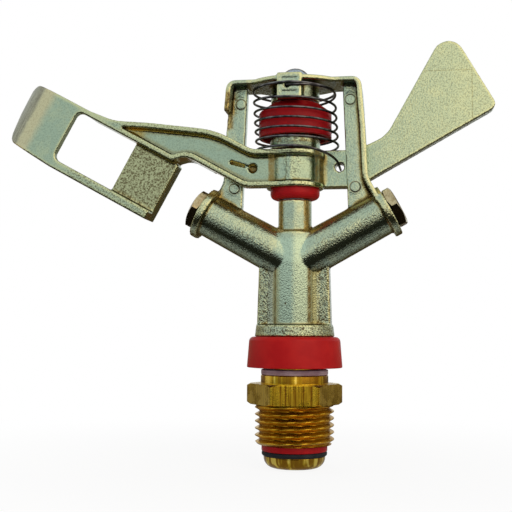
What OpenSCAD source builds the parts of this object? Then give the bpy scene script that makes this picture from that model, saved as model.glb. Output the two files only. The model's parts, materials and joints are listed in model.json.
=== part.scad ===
// Two-nozzle impulse sprinkler with a half-inch male inlet.
// Z runs up the bearing axis from the shoulder of the inlet thread, -Y is the front,
// the hammer arm points to -X and its counterweight to +X.

/* [Inlet nipple] */
// Outside diameter of the male inlet thread
thread_d = 20.955; // [20.4:0.005:21.6]
// Length of the inlet thread below the hexagon
thread_len = 10.5; // [8:0.5:14]
// Chamfer at the start of the inlet thread
thread_chamfer = 0.8; // [0.4:0.1:1.2]
// Width across the flats of the hexagon
hex_af = 22; // [21:0.5:24]
// Height of the hexagon
hex_h = 5.4; // [4:0.2:8]
// Turn of the hexagon about the bearing axis, in degrees
hex_turn = 6.5; // [0:0.5:30]
// Diameter of the collar above the hexagon
collar_d = 17.9; // [15:0.1:20]
// Height of the collar above the hexagon
collar_h = 2.3; // [1.2:0.1:4]

/* [Bearing stem] */
// Outside diameter of the stem that turns in the nipple
stem_d = 10.8; // [10.4:0.1:11.4]
// Diameter of the water way through the stem
stem_bore = 7.4; // [6:0.1:8]
// Diameter of the threaded upper end of the stem
stem_thread_d = 9.8; // [9.4:0.1:10.2]
// Length of the threaded upper end of the stem
stem_thread_len = 11; // [8:0.5:13]
// Diameter of the foot flange
foot_d = 16.3; // [15.5:0.1:17]
// Height of the foot flange
foot_h = 3.15; // [2.4:0.05:4]
// Radius of the rounding under the foot flange
foot_round = 1.7; // [1:0.1:2.2]

/* [Washers and bearing spring] */
// Diameter of the rubber ring on the foot
seal_d = 17.3; // [16:0.1:18]
// Thickness of the rubber ring on the foot
seal_t = 1.3; // [1:0.05:2.5]
// Diameter of the plastic washer under the nipple
lower_washer_d = 17.4; // [16:0.1:18]
// Thickness of the plastic washer under the nipple
lower_washer_t = 1.6; // [0.8:0.05:2]
// Diameter of the nylon washer on the collar
top_washer_d = 17.8; // [16:0.1:19]
// Thickness of the nylon washer on the collar
top_washer_t = 1.4; // [1:0.1:2.2]
// Wire diameter of the bearing spring
bearing_wire_d = 1.4; // [1:0.1:1.8]
// Mean diameter of the bearing spring
bearing_coil_d = 14.6; // [13.8:0.1:16]
// Turns of the bearing spring
bearing_turns = 3.5; // [2:0.5:4]
// Thickness of the steel seat above the bearing spring
spring_seat_t = 0.5; // [0.3:0.1:1]

/* [Dust cap] */
// Diameter of the dust cap at its open rim
cap_d = 25.4; // [24.6:0.1:27]
// Diameter of the dust cap at its top
cap_top_d = 24; // [23:0.1:24.5]
// Height of the dust cap
cap_h = 8.1; // [7:0.1:10]
// Wall of the dust cap
cap_wall = 1.4; // [1:0.1:2]
// Radius of the shoulder of the dust cap
cap_round = 1.2; // [0.6:0.1:1.4]
// Height of the dust cap's rim above the nipple's collar
cap_lift = 1.9; // [1.7:0.1:3.5]

/* [Socket of the casting] */
// Diameter of the band at the bottom of the socket
band_d = 21.3; // [19:0.1:22.5]
// Height of the band
band_h = 3.1; // [2.6:0.1:5]
// Diameter of the column
column_d = 12.9; // [12:0.1:14]
// Half width over the side ribs where they meet the barrels
side_rib_x = 9.3; // [8:0.1:10]
// Thickness of the side ribs
side_rib_t = 6; // [4:0.1:8]
// Leg of the corner fill between column and side rib
column_fillet = 1; // [0.5:0.1:1.6]

/* [Barrels and nozzles] */
// Height of the crossing of the barrels above the band's lower face
crossing_h = 19.9; // [19.5:0.1:22]
// Rise of the barrels above the horizontal, in degrees
barrel_tilt = 28.6; // [27:0.1:30]
// Diameter of a barrel at the column
barrel_root_d = 12.1; // [11.2:0.1:12.2]
// Diameter of a barrel at its end collar
barrel_end_d = 11.4; // [10.4:0.1:11.8]
// Length of a barrel from the crossing to its end collar
barrel_len = 26.9; // [25:0.1:29]
// Diameter of the end collar
end_collar_d = 14.2; // [12.6:0.1:14.4]
// Thickness of the end collar
end_collar_t = 2; // [1.2:0.1:3]
// Diameter of the water way in a barrel
barrel_bore = 7.4; // [6:0.1:8]
// Diameter of the nozzle's threaded shank
shank_d = 8.6; // [8.3:0.1:9]
// Length of the nozzle's threaded shank
shank_len = 8; // [5:0.5:12]
// Width across the flats of the nozzle's hexagon
nozzle_af = 10.4; // [9.2:0.1:11]
// Height of the nozzle's hexagon
nozzle_hex_h = 2.6; // [1.5:0.1:4]
// Diameter of the left nozzle's outlet
outlet_left_d = 4; // [2:0.1:5.4]
// Diameter of the right nozzle's outlet
outlet_right_d = 3.2; // [2:0.1:5.4]

/* [Riser, pin and bushes] */
// Diameter of the column's neck where it ends above the barrels
neck_d = 11.4; // [10:0.1:11.8]
// Height of the neck above the crossing
neck_h = 7.9; // [6:0.1:9]
// Diameter of the riser that carries the pin
riser_d = 9; // [8:0.1:10]
// Height of the riser's top above the crossing
riser_h = 16.5; // [15.5:0.1:18]
// Diameter of the fulcrum pin
pin_d = 4.8; // [4:0.1:5.2]
// Depth of the pin in the riser
pin_depth = 5; // [3:0.5:6]
// Radius of the pin's domed head
pin_head_r = 4.2; // [3.4:0.1:5]
// Thickness of the two thrust washers on the pin
thrust_t = 0.3; // [0.2:0.05:0.5]
// Diameter of the two thrust washers on the pin
thrust_d = 8.4; // [7:0.1:8.8]
// Diameter of the lower bush
bush_d = 13.3; // [12:0.1:14]
// Height of the lower bush
bush_h = 2.8; // [2.2:0.1:4]
// Radius of the rounding under the lower bush
bush_round = 1.5; // [0.6:0.1:2]
// Outside diameter of the sleeve in the hub
sleeve_d = 6.8; // [6.2:0.1:7.4]

/* [Hammer hub and bell] */
// Diameter of the hammer's hub
hub_d = 13.6; // [12.8:0.1:14.2]
// Height of the hub
hub_h = 21.6; // [20:0.1:24]
// Diameter of the two flanges round the hub
hub_flange_d = 15.4; // [14.6:0.1:16.4]
// Diameter of the bell over the hub
bell_d = 19.7; // [18:0.1:20.4]
// Height of the bell
bell_h = 9.4; // [8.6:0.1:12]
// Wall of the bell
bell_wall = 1.2; // [0.8:0.1:1.6]
// Diameter of the bell's flat top
bell_top_d = 13; // [10:0.1:15]
// Thickness of the bell's top
bell_top_t = 1.6; // [1:0.1:2.4]

/* [Hammer arm] */
// Height of the arm at the hub
arm_h = 10.1; // [9:0.1:11]
// Distance of the arm's front face in front of the axis
arm_front = 7; // [6.6:0.1:7.6]
// Width of the flange round the arm's pocket
arm_flange_w = 1.5; // [1:0.1:2]
// Depth of the pocket in the arm
pocket_depth = 2.7; // [2:0.1:3.4]
// Thickness of the arm's web
arm_web_t = 1.3; // [0.8:0.1:1.6]
// Radius of the inner corners where the arm and the bar meet the hub
hub_root_r = 1.6; // [0.8:0.1:2]
// Distance behind the axis that the outer arm reaches
arm_back = 2; // [1:0.1:3]
// Diameter of the blind hole in the arm's web
arm_hole_d = 2.4; // [1.6:0.1:3]
// Distance along the jet from the crossing to the inner edge of the splitter plate
splitter_start = 40.5; // [38:0.1:42]
// Distance along the jet from the crossing to the near edge of the window
window_start = 54.1; // [52:0.1:56]
// Length of the window along the jet
window_len = 17.7; // [16:0.1:20]
// Height of the window's upper edge above the jet
window_up = 8.1; // [7:0.1:8.6]
// Depth of the window's lower edge below the jet
window_down = 6.6; // [5:0.1:7]
// Height of the upper rail of the window
upper_rail_h = 1.5; // [1.2:0.1:2]
// Height of the lower rail of the window
lower_rail_h = 2.5; // [1.6:0.1:3.5]
// Thickness of the splitter plate
splitter_t = 1.8; // [1.2:0.1:2.5]
// Distance of the splitter plate behind the arm's front face
splitter_recess = 4.2; // [3:0.1:5]
// Distance along the jet from the crossing to the tip of the vane
vane_end = 89.6; // [86:0.1:91]
// Thickness of the vane
vane_t = 2; // [1.2:0.1:2.6]
// Radius of the vane's front face
vane_r = 16; // [14:0.5:20]
// Length of the curved part of the vane along the jet
vane_bend = 13; // [9:0.1:14]
// Radius of the vane's corners
vane_corner = 3; // [1:0.1:5]

/* [Counterweight] */
// Thickness of the bar and its paddle
bar_t = 4.5; // [3:0.1:5.5]
// Height of the bar
bar_h = 10.2; // [9.4:0.1:11]
// Distance of the spring hole outside the coil's mean radius
spring_hole_out = 0.8; // [0.5:0.1:1.1]
// Height of the spring hole above the foot of the hub
spring_hole_h = 6.3; // [5:0.1:7]
// Diameter of the spring hole
spring_hole_d = 2.4; // [1.6:0.1:3]
// Distance of the paddle's lower outer corner from the axis
paddle_reach = 53.9; // [50:0.1:56]
// Height of the paddle's lower outer corner above the foot of the hub
paddle_low_h = 21.9; // [20:0.1:23]
// Distance of the paddle's upper corner from the axis
paddle_peak_x = 41; // [39:0.1:43]
// Height of the paddle's upper corner above the foot of the hub
paddle_peak_h = 44.4; // [42:0.1:46]
// Radius of the paddle's upper corner
paddle_peak_r = 4.2; // [2:0.1:5]

/* [Bridge] */
// Half width between the posts under the plate
bridge_in_top = 12.9; // [12.7:0.1:13.4]
// Width of a post at the barrel
post_foot_w = 6.1; // [5.4:0.1:6.5]
// Half width over the posts under the plate
bridge_out_top = 18; // [17.4:0.1:19]
// Distance of a post's outer face beyond the inner face of the end collar
rim_seat = 1; // [0.6:0.1:1.4]
// Length of a post's foot down the end collar
rim_reach = 4.2; // [3.4:0.1:4.8]
// Thickness of the posts' webs
web_t = 3; // [2.4:0.1:3.4]
// Thickness of the flange round the posts
post_flange_t = 1.4; // [1:0.1:1.8]
// Depth of the bridge from front to back
bridge_depth = 12; // [10:0.1:13]
// Thickness of the plate
plate_t = 1.3; // [1:0.1:2]
// Depth of the plate in the middle, from front to back
plate_mid_depth = 20; // [16:0.1:20.4]
// Half length of the plate's bulge
bulge_x = 10.5; // [9:0.1:12]
// Radius of the bridge's upper corners
bridge_corner = 2.6; // [1.5:0.1:4]
// Diameter of the boss under the plate
boss_d = 13.2; // [12:0.1:14]
// Height of the boss under the plate
boss_h = 4.4; // [3.5:0.1:5.5]
// Height below the plate's top at which the cut-away post flange starts
flange_cut_h = 8.4; // [6:0.1:9]
// Width of the anchor rib that holds the spring's upper end
anchor_w = 6.5; // [5:0.1:8]
// Height of the anchor rib
anchor_h = 6.2; // [5.4:0.1:7]
// Offset of the anchor rib from the middle
anchor_x = -0.5; // [-1:0.1:1]
// Diameter of the hole in the anchor rib
anchor_hole_d = 1.2; // [0.9:0.1:1.6]
// Diameter of the ejector pads on the posts
pad_d = 3.2; // [2:0.1:4]

/* [Arm spring] */
// Wire diameter of the arm spring
arm_wire_d = 0.62; // [0.5:0.02:0.8]
// Gap between the bell and the coil of the arm spring
coil_gap = 0.94; // [0.8:0.02:1.1]
// Full turns of the arm spring's coil
coil_turns = 7; // [6:1:8]
// Sideways drift of the coil between its lower and upper end
coil_lean = 1.1; // [0:0.1:1.2]

/* [Clearances] */
// Radial clearance of each running fit and each seated diameter
fit_gap = 0.05; // [0.03:0.01:0.08]
// Gap between faces that turn past each other under a thrust washer
thrust_gap = 0.05; // [0.05:0.05:0.2]
// Gap between the hammer and the posts that it rests against
strike_gap = 0.3; // [0.3:0.05:0.6]

/* [Hidden] */
$fn = 72;
eps = 0.01;
past = 30;

// Heights above the shoulder of the inlet thread
collar_z = hex_h + collar_h;
foot_z = -thread_len - thrust_gap - lower_washer_t - seal_t;
cap_z = collar_z + cap_lift;
band_z = cap_z + cap_h;
crossing_z = band_z + crossing_h;
riser_z = crossing_z + riser_h;
bush_z = riser_z + thrust_t + thrust_gap;
hub_z = bush_z + bush_h;
hub_top_z = hub_z + hub_h;
bell_top_z = hub_top_z + bell_top_t;
boss_z = bell_top_z + thrust_gap + thrust_t;
plate_z = boss_z + boss_h;
plate_top_z = plate_z + plate_t;
gasket_t = 1.6;
gasket_d = 13;
shoulder_z = band_z + band_h + 0.6;
seat_z = band_z - cap_wall - spring_seat_t;
washer_top_z = collar_z + top_washer_t;

// The arm spring winds round the bell
arm_coil_d = bell_d + 2 * coil_gap + arm_wire_d;
spring_hole_x = arm_coil_d / 2 + spring_hole_out;

// The posts stand on the barrels, and their outer flanges lean out along the end collars
rim_x = (barrel_len + rim_seat) * cos(barrel_tilt) - end_collar_d / 2 * sin(barrel_tilt);
rim_z = crossing_z + (barrel_len + rim_seat) * sin(barrel_tilt) + end_collar_d / 2 * cos(barrel_tilt);
function rim_point(down, inset) = [
    rim_x + down * sin(barrel_tilt) - inset * cos(barrel_tilt),
    rim_z - down * cos(barrel_tilt) - inset * sin(barrel_tilt)];
bridge_out_low = rim_x - 0.6;
bridge_in_low = bridge_out_low - post_foot_w;

// Depths, measured along Y from the bearing axis
web_y = web_t / 2;
arm_pass_y = -web_y - strike_gap;
bar_y = web_y + strike_gap;
pocket_floor_y = -arm_front + pocket_depth;
inner_back_y = pocket_floor_y + arm_web_t;
splitter_y = -arm_front + splitter_recess;

// A point list with a radius at each point becomes an outline with round corners
corner_steps = 8;
function unit(v) = v / norm(v);
function wrap(a) = a > 180 ? a - 360 : a < -180 ? a + 360 : a;
function corner(a, b, c, r) =
    let (u = unit(a - b), v = unit(c - b), half = acos(u * v) / 2,
         centre = b + unit(u + v) * r / sin(half),
         p = b + u * r / tan(half) - centre,
         q = b + v * r / tan(half) - centre,
         start = atan2(p[1], p[0]), sweep = wrap(atan2(q[1], q[0]) - start))
    [for (i = [0 : corner_steps])
        centre + r * [cos(start + sweep * i / corner_steps), sin(start + sweep * i / corner_steps)]];
function flat(p) = [p[0], p[1]];
function rounded(pts) = let (n = len(pts)) [for (i = [0 : n - 1])
    each (pts[i][2] == 0 ? [flat(pts[i])]
        : corner(flat(pts[(i + n - 1) % n]), flat(pts[i]), flat(pts[(i + 1) % n]), pts[i][2]))];

// A round wire along a list of points
wire_sides = 8;
function tangent(path, i) = unit(path[min(i + 1, len(path) - 1)] - path[max(i - 1, 0)]);
function wire_ring(p, t, r) =
    let (side = unit(cross(t, abs(t[2]) > 0.9 ? [1, 0, 0] : [0, 0, 1])), up = cross(side, t))
    [for (k = [0 : wire_sides - 1])
        p + r * (side * cos(k * 360 / wire_sides) + up * sin(k * 360 / wire_sides))];
module wire(path, d) {
    n = len(path);
    s = wire_sides;
    polyhedron(
        points = [for (i = [0 : n - 1]) each wire_ring(path[i], tangent(path, i), d / 2)],
        faces = concat(
            [[for (k = [s - 1 : -1 : 0]) k]],
            [for (i = [0 : n - 2], k = [0 : s - 1])
                [i * s + k, i * s + (k + 1) % s, (i + 1) * s + (k + 1) % s, (i + 1) * s + k]],
            [[for (k = [0 : s - 1]) (n - 1) * s + k]]));
}

// Local frames: in front_view X is the distance towards the arm, Y is height and Z runs to the back
module front_view() { rotate([90, 0, 180]) children(); }
// Jet frame: X runs along the left jet from the crossing, Y square to it and upwards, Z to the back
module jet_frame() { translate([0, 0, crossing_z]) front_view() rotate([0, 0, barrel_tilt]) children(); }
// Barrel frame: Z runs outwards along a barrel
module barrel_frame(side) {
    translate([0, 0, crossing_z]) rotate([0, side * (90 - barrel_tilt), 0]) children();
}
module slab(y0, y1) { translate([0, 0, y0]) linear_extrude(y1 - y0) children(); }
module ring(z, t, d, bore) {
    translate([0, 0, z]) difference() {
        cylinder(h = t, d = d);
        translate([0, 0, -1]) cylinder(h = t + 2, d = bore);
    }
}
module bore(z0, z1, d) { translate([0, 0, z0]) cylinder(h = z1 - z0, d = d); }
module hex_bar(af, h, turn, bevel) {
    across = af / cos(30);
    intersection() {
        rotate([0, 0, turn]) cylinder(h = h, d = across, $fn = 6);
        rotate_extrude() polygon([[0, 0], [across / 2 - bevel, 0], [across / 2, bevel * 0.58],
            [across / 2, h - bevel * 0.58], [across / 2 - bevel, h], [0, h]]);
    }
}

hex_bevel = 0.9;
collar_bevel = 0.4;
module inlet_nipple() {
    r = thread_d / 2;
    color("goldenrod") difference() {
        union() {
            rotate_extrude() polygon([[0, -thread_len], [r - thread_chamfer, -thread_len],
                [r, thread_chamfer - thread_len], [r, 0], [0, 0]]);
            hex_bar(hex_af, hex_h, hex_turn, hex_bevel);
            rotate_extrude() polygon([[0, hex_h - eps], [collar_d / 2, hex_h - eps],
                [collar_d / 2, collar_z - collar_bevel], [collar_d / 2 - collar_bevel, collar_z],
                [0, collar_z]]);
        }
        bore(-thread_len - 1, collar_z + 1, stem_d + 2 * fit_gap);
    }
}

washer_bore = stem_d + 2 * fit_gap;
module top_washer() { color("white") ring(collar_z, top_washer_t, top_washer_d, washer_bore); }
module seal_ring() { color([0.06, 0.07, 0.08]) ring(foot_z, seal_t, seal_d, washer_bore); }
module lower_washer() {
    color("firebrick") ring(foot_z + seal_t, lower_washer_t, lower_washer_d, washer_bore);
}
module stem_gasket() { color([0.1, 0.1, 0.1]) ring(band_z, gasket_t, gasket_d, washer_bore); }
module spring_seat() {
    color("silver") ring(seat_z, spring_seat_t, bearing_coil_d + bearing_wire_d + 1, washer_bore);
}

module bearing_stem() {
    bottom = foot_z - foot_h;
    r = foot_d / 2;
    arc = [for (i = [0 : 6]) let (a = -90 + 15 * i)
        [r - foot_round + foot_round * cos(a), bottom + foot_round + foot_round * sin(a)]];
    color("goldenrod") rotate_extrude() polygon(concat(
        [[stem_bore / 2, bottom]], arc,
        [[r, foot_z], [stem_d / 2, foot_z], [stem_d / 2, shoulder_z],
            [stem_thread_d / 2, shoulder_z], [stem_thread_d / 2, shoulder_z + stem_thread_len],
            [stem_bore / 2, shoulder_z + stem_thread_len]]));
}

// The bearing spring: close end turns, open in between
spring_steps = 24;
module bearing_spring() {
    low = washer_top_z + thrust_gap + bearing_wire_d / 2;
    high = seat_z - thrust_gap - bearing_wire_d / 2;
    last = spring_steps * bearing_turns;
    rest = 0.06;
    color("dimgray") wire([for (i = [0 : last]) let (a = 360 * i / spring_steps, t = i / last)
        [bearing_coil_d / 2 * cos(a), bearing_coil_d / 2 * sin(a),
            low + (high - low) * min(1, max(0, (t - rest) / (1 - 2 * rest)))]], bearing_wire_d);
}

module dust_cap() {
    r0 = cap_d / 2;
    r1 = cap_top_d / 2;
    arc = [for (i = [0 : 6]) [r1 - cap_round + cap_round * cos(15 * i),
        band_z - cap_round + cap_round * sin(15 * i)]];
    color("crimson") rotate_extrude() polygon(concat(
        [[stem_d / 2 + fit_gap, band_z - cap_wall], [r1 - cap_wall - 0.3, band_z - cap_wall],
            [r0 - cap_wall, cap_z], [r0, cap_z]], arc, [[stem_d / 2 + fit_gap, band_z]]));
}

// Head casting: socket, barrels, riser and bridge in one piece
band_taper = 0.35;
neck_edge_h = 0.4;
rib_draft = 0.5;
module socket() {
    r = column_d / 2;
    half = side_rib_t / 2;
    meet = sqrt(r * r - half * half);
    low = band_z + band_h - eps;
    translate([0, 0, band_z]) cylinder(h = band_h, d1 = band_d, d2 = band_d - 2 * band_taper);
    rotate([90, 0, 0]) slab(-half, half) polygon([
        [-side_rib_x - rib_draft, low], [side_rib_x + rib_draft, low],
        [side_rib_x, crossing_z], [-side_rib_x, crossing_z]]);
    translate([0, 0, low]) linear_extrude(crossing_h - band_h) polygon([
        for (k = [[1, 1], [-1, 1], [-1, -1], [1, -1]], end = [0, 1])
            let (near = k[0] * k[1] > 0 ? end : 1 - end)
            near == 0 ? [k[0] * (meet + column_fillet), k[1] * (half - eps)]
                : [k[0] * (meet - column_fillet), k[1] * (half + column_fillet)]]);
}
module column() {
    bore(band_z + band_h - eps, crossing_z, column_d);
    translate([0, 0, crossing_z - eps]) cylinder(h = neck_h, d1 = column_d, d2 = neck_d);
    translate([0, 0, crossing_z + neck_h - 2 * eps])
        cylinder(h = neck_edge_h, d1 = neck_d, d2 = riser_d);
    bore(crossing_z, riser_z, riser_d);
}
module barrel(side) {
    barrel_frame(side) {
        cylinder(h = barrel_len, d1 = barrel_root_d, d2 = barrel_end_d);
        bore(barrel_len - eps, barrel_len + end_collar_t, end_collar_d);
    }
}
module water_way() {
    bore(band_z - 1, band_z + gasket_t, gasket_d + 2 * fit_gap);
    bore(band_z, shoulder_z, stem_d + 2 * fit_gap);
    bore(band_z, shoulder_z + stem_thread_len + 0.5, stem_thread_d + 2 * fit_gap);
    bore(band_z, crossing_z + 1, stem_bore);
    for (side = [-1, 1]) barrel_frame(side) {
        bore(0, barrel_len + end_collar_t + 1, barrel_bore);
        bore(barrel_len + end_collar_t - shank_len - 0.3, barrel_len + end_collar_t + 1,
            shank_d + 2 * fit_gap);
    }
}

// One post with half of the plate, seen from the front. The outer flange runs down from the plate,
// bends outwards and ends along the end collar.
post_foot_z = crossing_z + bridge_out_low * tan(barrel_tilt) + 3.7;
post_inner_foot_z = crossing_z + bridge_in_low * tan(barrel_tilt) + 4.5;
post_knee_z = plate_top_z - 13.5;
post_spread = 1.1;
bend_up = 2.8;
bend_r = 6;
module post_outline() {
    end = rim_point(past / 2, 0);
    polygon(rounded([
        [-past, plate_top_z, 0], [bridge_out_top, plate_top_z, bridge_corner],
        [bridge_out_top + post_spread, post_knee_z, 0], concat(rim_point(-bend_up, 0), bend_r),
        concat(end, 0), [-past, end[1], 0]]));
}
module post_frame(y0, y1) {
    rotate([90, 0, 0]) slab(-y1, -y0) intersection() {
        difference() {
            post_outline();
            offset(delta = -post_flange_t) translate([0, post_flange_t - plate_t]) post_outline();
        }
        polygon([[0, plate_top_z], [past, plate_top_z], rim_point(rim_reach, -past / 2),
            rim_point(rim_reach, 2 * post_flange_t), [0, post_foot_z]]);
    }
}
module post_web() {
    rotate([90, 0, 0]) slab(-web_y, web_y) polygon([
        [bridge_in_top, plate_top_z - plate_t / 2], [bridge_out_top - 1, plate_top_z - plate_t / 2],
        [bridge_out_top + post_spread - 0.4, post_knee_z], rim_point(-bend_up, 0.7), rim_point(2, 0.7),
        [bridge_out_low - 0.4, post_foot_z], [bridge_in_low, post_inner_foot_z]]);
}
module post() {
    half = bridge_depth / 2;
    post_web();
    post_frame(-half, 0);
    intersection() {
        post_frame(0, half);
        translate([-1, -past, plate_top_z - flange_cut_h]) cube([past, 2 * past, past]);
    }
}
module bulge() {
    rise = (plate_mid_depth - bridge_depth) / 2;
    r = (bulge_x * bulge_x + rise * rise) / (2 * rise);
    translate([0, 0, plate_z]) intersection() {
        translate([0, r - plate_mid_depth / 2, 0]) cylinder(h = plate_t, r = r, $fn = 144);
        translate([-bulge_x, -plate_mid_depth, 0]) cube([2 * bulge_x, plate_mid_depth, plate_t]);
    }
}
module anchor_rib() {
    front = arm_coil_d / 2 - anchor_inset;
    top = plate_top_z + 0.5;
    difference() {
        union() {
            translate([anchor_x - anchor_w / 2, -front, top - anchor_h])
                cube([anchor_w, front - boss_d / 2 + 1, anchor_h]);
            translate([anchor_x - anchor_w / 2, -front, top - anchor_h - anchor_lip])
                cube([anchor_w, anchor_lip_t, anchor_lip + eps]);
        }
        for (h = anchor_grooves) translate([anchor_x, -front, top - h]) rotate([45, 0, 0])
            cube([anchor_w - 2, 0.5, 0.5], center = true);
    }
}
anchor_inset = 0.9;
anchor_lip = 0.8;
anchor_lip_t = 2;
anchor_grooves = [1.7, 5.2];
module bridge() {
    for (turn = [0, 180]) rotate([0, 0, turn]) {
        post();
        bulge();
    }
    bore(boss_z, plate_z + eps, boss_d);
    anchor_rib();
}
anchor_z = plate_z - 1.7;
// Each ejector pad has a side, an offset from the middle line of its post, and a height
function post_mid(z) = lookup(z, [[post_foot_z, (bridge_in_low + bridge_out_low) / 2],
    [plate_top_z, (bridge_in_top + bridge_out_top) / 2]]);
module ejector_pads() {
    pads = [[-1, -0.6, plate_top_z - 5.3], [1, -0.8, plate_top_z - 5.1],
        [-1, -0.5, hub_z + 0.5], [1, -1.1, hub_z + 0.4]];
    for (p = pads) translate([p[0] * (post_mid(p[2]) + p[1]), -web_y + eps, p[2]])
        rotate([90, 0, 0]) cylinder(h = 0.15, d = pad_d);
}
module head_casting() {
    color([0.68, 0.72, 0.55]) difference() {
        union() {
            socket();
            column();
            for (side = [-1, 1]) barrel(side);
            bridge();
            ejector_pads();
        }
        water_way();
        bore(riser_z - pin_depth, plate_top_z + past, pin_d + 2 * fit_gap);
        translate([anchor_x - 0.6, 0.1 - arm_coil_d / 2, anchor_z]) rotate([-90, 0, 0])
            cylinder(h = 3, d = anchor_hole_d);
    }
}

// Nozzles: a hexagon head and a threaded shank with a conical bore
nozzle_wall = 0.8;
module nozzle(side, outlet_d) {
    face = barrel_len + end_collar_t;
    tip = face + nozzle_hex_h;
    tail = face - shank_len;
    color("burlywood") barrel_frame(side) difference() {
        union() {
            translate([0, 0, face]) hex_bar(nozzle_af, nozzle_hex_h, 0, 0.5);
            bore(tail, face + eps, shank_d);
        }
        translate([0, 0, tail - eps]) cylinder(h = tip - tail - 1, d1 = shank_d - 2 * nozzle_wall, d2 = outlet_d);
        bore(tail, tip + 1, outlet_d);
    }
}
module nozzle_left() { nozzle(-1, outlet_left_d); }
module nozzle_right() { nozzle(1, outlet_right_d); }

module fulcrum_pin() {
    r = pin_head_r;
    dome = [for (i = [0 : 12]) [r * cos(7.5 * i), plate_top_z + r * 0.95 * sin(7.5 * i)]];
    color("lightslategray") rotate_extrude() polygon(concat(
        [[0, riser_z - pin_depth + 0.2], [pin_d / 2, riser_z - pin_depth + 0.2],
            [pin_d / 2, plate_top_z]], dome));
}
pin_bore = pin_d + 2 * fit_gap;
module riser_washer() { color("silver") ring(riser_z, thrust_t, thrust_d, pin_bore); }
module boss_washer() { color("silver") ring(boss_z - thrust_t, thrust_t, thrust_d, pin_bore); }

module lower_bush() {
    r = bush_d / 2;
    arc = [for (i = [0 : 6]) let (a = -90 + 15 * i)
        [r - bush_round + bush_round * cos(a), bush_z + bush_round + bush_round * sin(a)]];
    color("firebrick") rotate_extrude() polygon(concat(
        [[pin_bore / 2, bush_z]], arc, [[r, hub_z], [pin_bore / 2, hub_z]]));
}
module pivot_sleeve() {
    color("ivory") ring(hub_z, hub_h, sleeve_d, pin_bore);
}
module bell_cap() {
    r = bell_d / 2;
    shoulder = (bell_d - bell_top_d) / 2;
    low = bell_top_z - bell_h;
    color("firebrick") rotate_extrude() polygon([
        [pin_bore / 2, hub_top_z], [hub_d / 2 + fit_gap, hub_top_z],
        [r - bell_wall, bell_top_z - shoulder - 0.9], [r - bell_wall, low], [r, low],
        [r, bell_top_z - 0.75 * shoulder], [bell_top_d / 2, bell_top_z], [pin_bore / 2, bell_top_z]]);
}

// Hammer arm. Heights in the outlines are counted from the foot of the hub.
rail_top = window_up + upper_rail_h;
rail_low = -window_down - lower_rail_h;
window_end = window_start + window_len;
function jet_point(u, v, r) = [
    u * cos(barrel_tilt) - v * sin(barrel_tilt),
    crossing_z - hub_z + u * sin(barrel_tilt) + v * cos(barrel_tilt), r];
pass_near = bridge_in_low - 2.1;
pass_far = bridge_out_low + 1.3;
splitter_edge = jet_point(splitter_start + 1.4, window_up, 0.5);
beam_outline = rounded([
    [0, arm_h, 0], [10.8, arm_h, 5], [21, arm_h + 5.5, 25], [39, arm_h + 7.9, 40],
    [49, arm_h + 8.8, 15], jet_point(window_end - 2.9, rail_top, 0),
    jet_point(window_end - 2.9, window_up, 0), splitter_edge,
    [28.6, 8.6, 5], [13, 0, 6], [0, 0, 0]]);
module beam_section() { translate([0, hub_z]) polygon(beam_outline); }
module pocket_section(x0, x1) {
    intersection() {
        offset(r = -arm_flange_w) beam_section();
        translate([x0, hub_z - 1]) square([x1 - x0, 60]);
    }
}
module beam() {
    difference() {
        front_view() slab(-arm_front, arm_back) beam_section();
        translate([-pass_far, arm_pass_y, hub_z - 1]) cube([pass_far - pass_near, past, past]);
        translate([-pass_near - eps, inner_back_y, hub_z - 1]) cube([pass_near + 1, past, past]);
        front_view() slab(-arm_front - 1, pocket_floor_y) pocket_section(0, 2 * past);
        front_view() slab(inner_back_y, past) pocket_section(pass_far + arm_flange_w, 2 * past);
        arm_keyhole();
    }
}
keyhole_depth = 0.8;
module arm_keyhole() {
    hole = [10.9, hub_z + 5.3];
    tip = [16.9, hub_z + 7.1];
    front_view() slab(-arm_front - 1, pocket_floor_y + keyhole_depth) {
        translate(hole) circle(d = arm_hole_d);
        hull() {
            translate(hole) circle(d = 0.5, $fn = 8);
            translate(tip) circle(d = 0.9, $fn = 8);
        }
    }
}
module along_jet(v0, v1) {
    // children are drawn with X along the jet and Y towards the back
    jet_frame() translate([0, v1, 0]) rotate([90, 0, 0]) linear_extrude(v1 - v0) children();
}
module window_frame() {
    rail_back = -arm_front + 2.2;
    plate_end = splitter_y + splitter_t;
    along_jet(window_up, rail_top)
        polygon([[window_start, -arm_front], [window_end, -arm_front],
            [window_end, rail_back], [window_start, rail_back]]);
    along_jet(rail_low, -window_down)
        polygon([[splitter_start, -arm_front], [window_end, -arm_front],
            [window_end, rail_back], [window_start, plate_end], [splitter_start, arm_back]]);
    along_jet(rail_low, window_up + eps) {
        polygon([[splitter_start, splitter_y], [window_start, splitter_y],
            [window_start, plate_end], [splitter_start, plate_end]]);
        polygon([[splitter_start, splitter_y], [splitter_start + 1.5, splitter_y],
            [splitter_start + 1.5, arm_back], [splitter_start, arm_back]]);
    }
}
vane_flat_end = vane_end - vane_bend;
vane_steps = 12;
function vane_arc(r, a) = [vane_flat_end + r * sin(a), vane_r - arm_front - r * cos(a)];
module vane() {
    sweep = asin(vane_bend / vane_r);
    intersection() {
        along_jet(rail_low, rail_top) polygon(concat(
            [[window_end, -arm_front]],
            [for (i = [0 : vane_steps]) vane_arc(vane_r, sweep * i / vane_steps)],
            [for (i = [vane_steps : -1 : 0]) vane_arc(vane_r - vane_t, sweep * i / vane_steps)],
            [[window_end, vane_t - arm_front]]));
        jet_frame() slab(-past, past) polygon(rounded([
            [window_end - 1, rail_top, 0], [window_end - 1, rail_low, 0], [window_end, rail_low, 0],
            [vane_end - 2.2, rail_low + 1, vane_corner], [vane_end - 0.6, 0, 0],
            [vane_end - 0.2, rail_top, vane_corner]]));
    }
}
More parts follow.
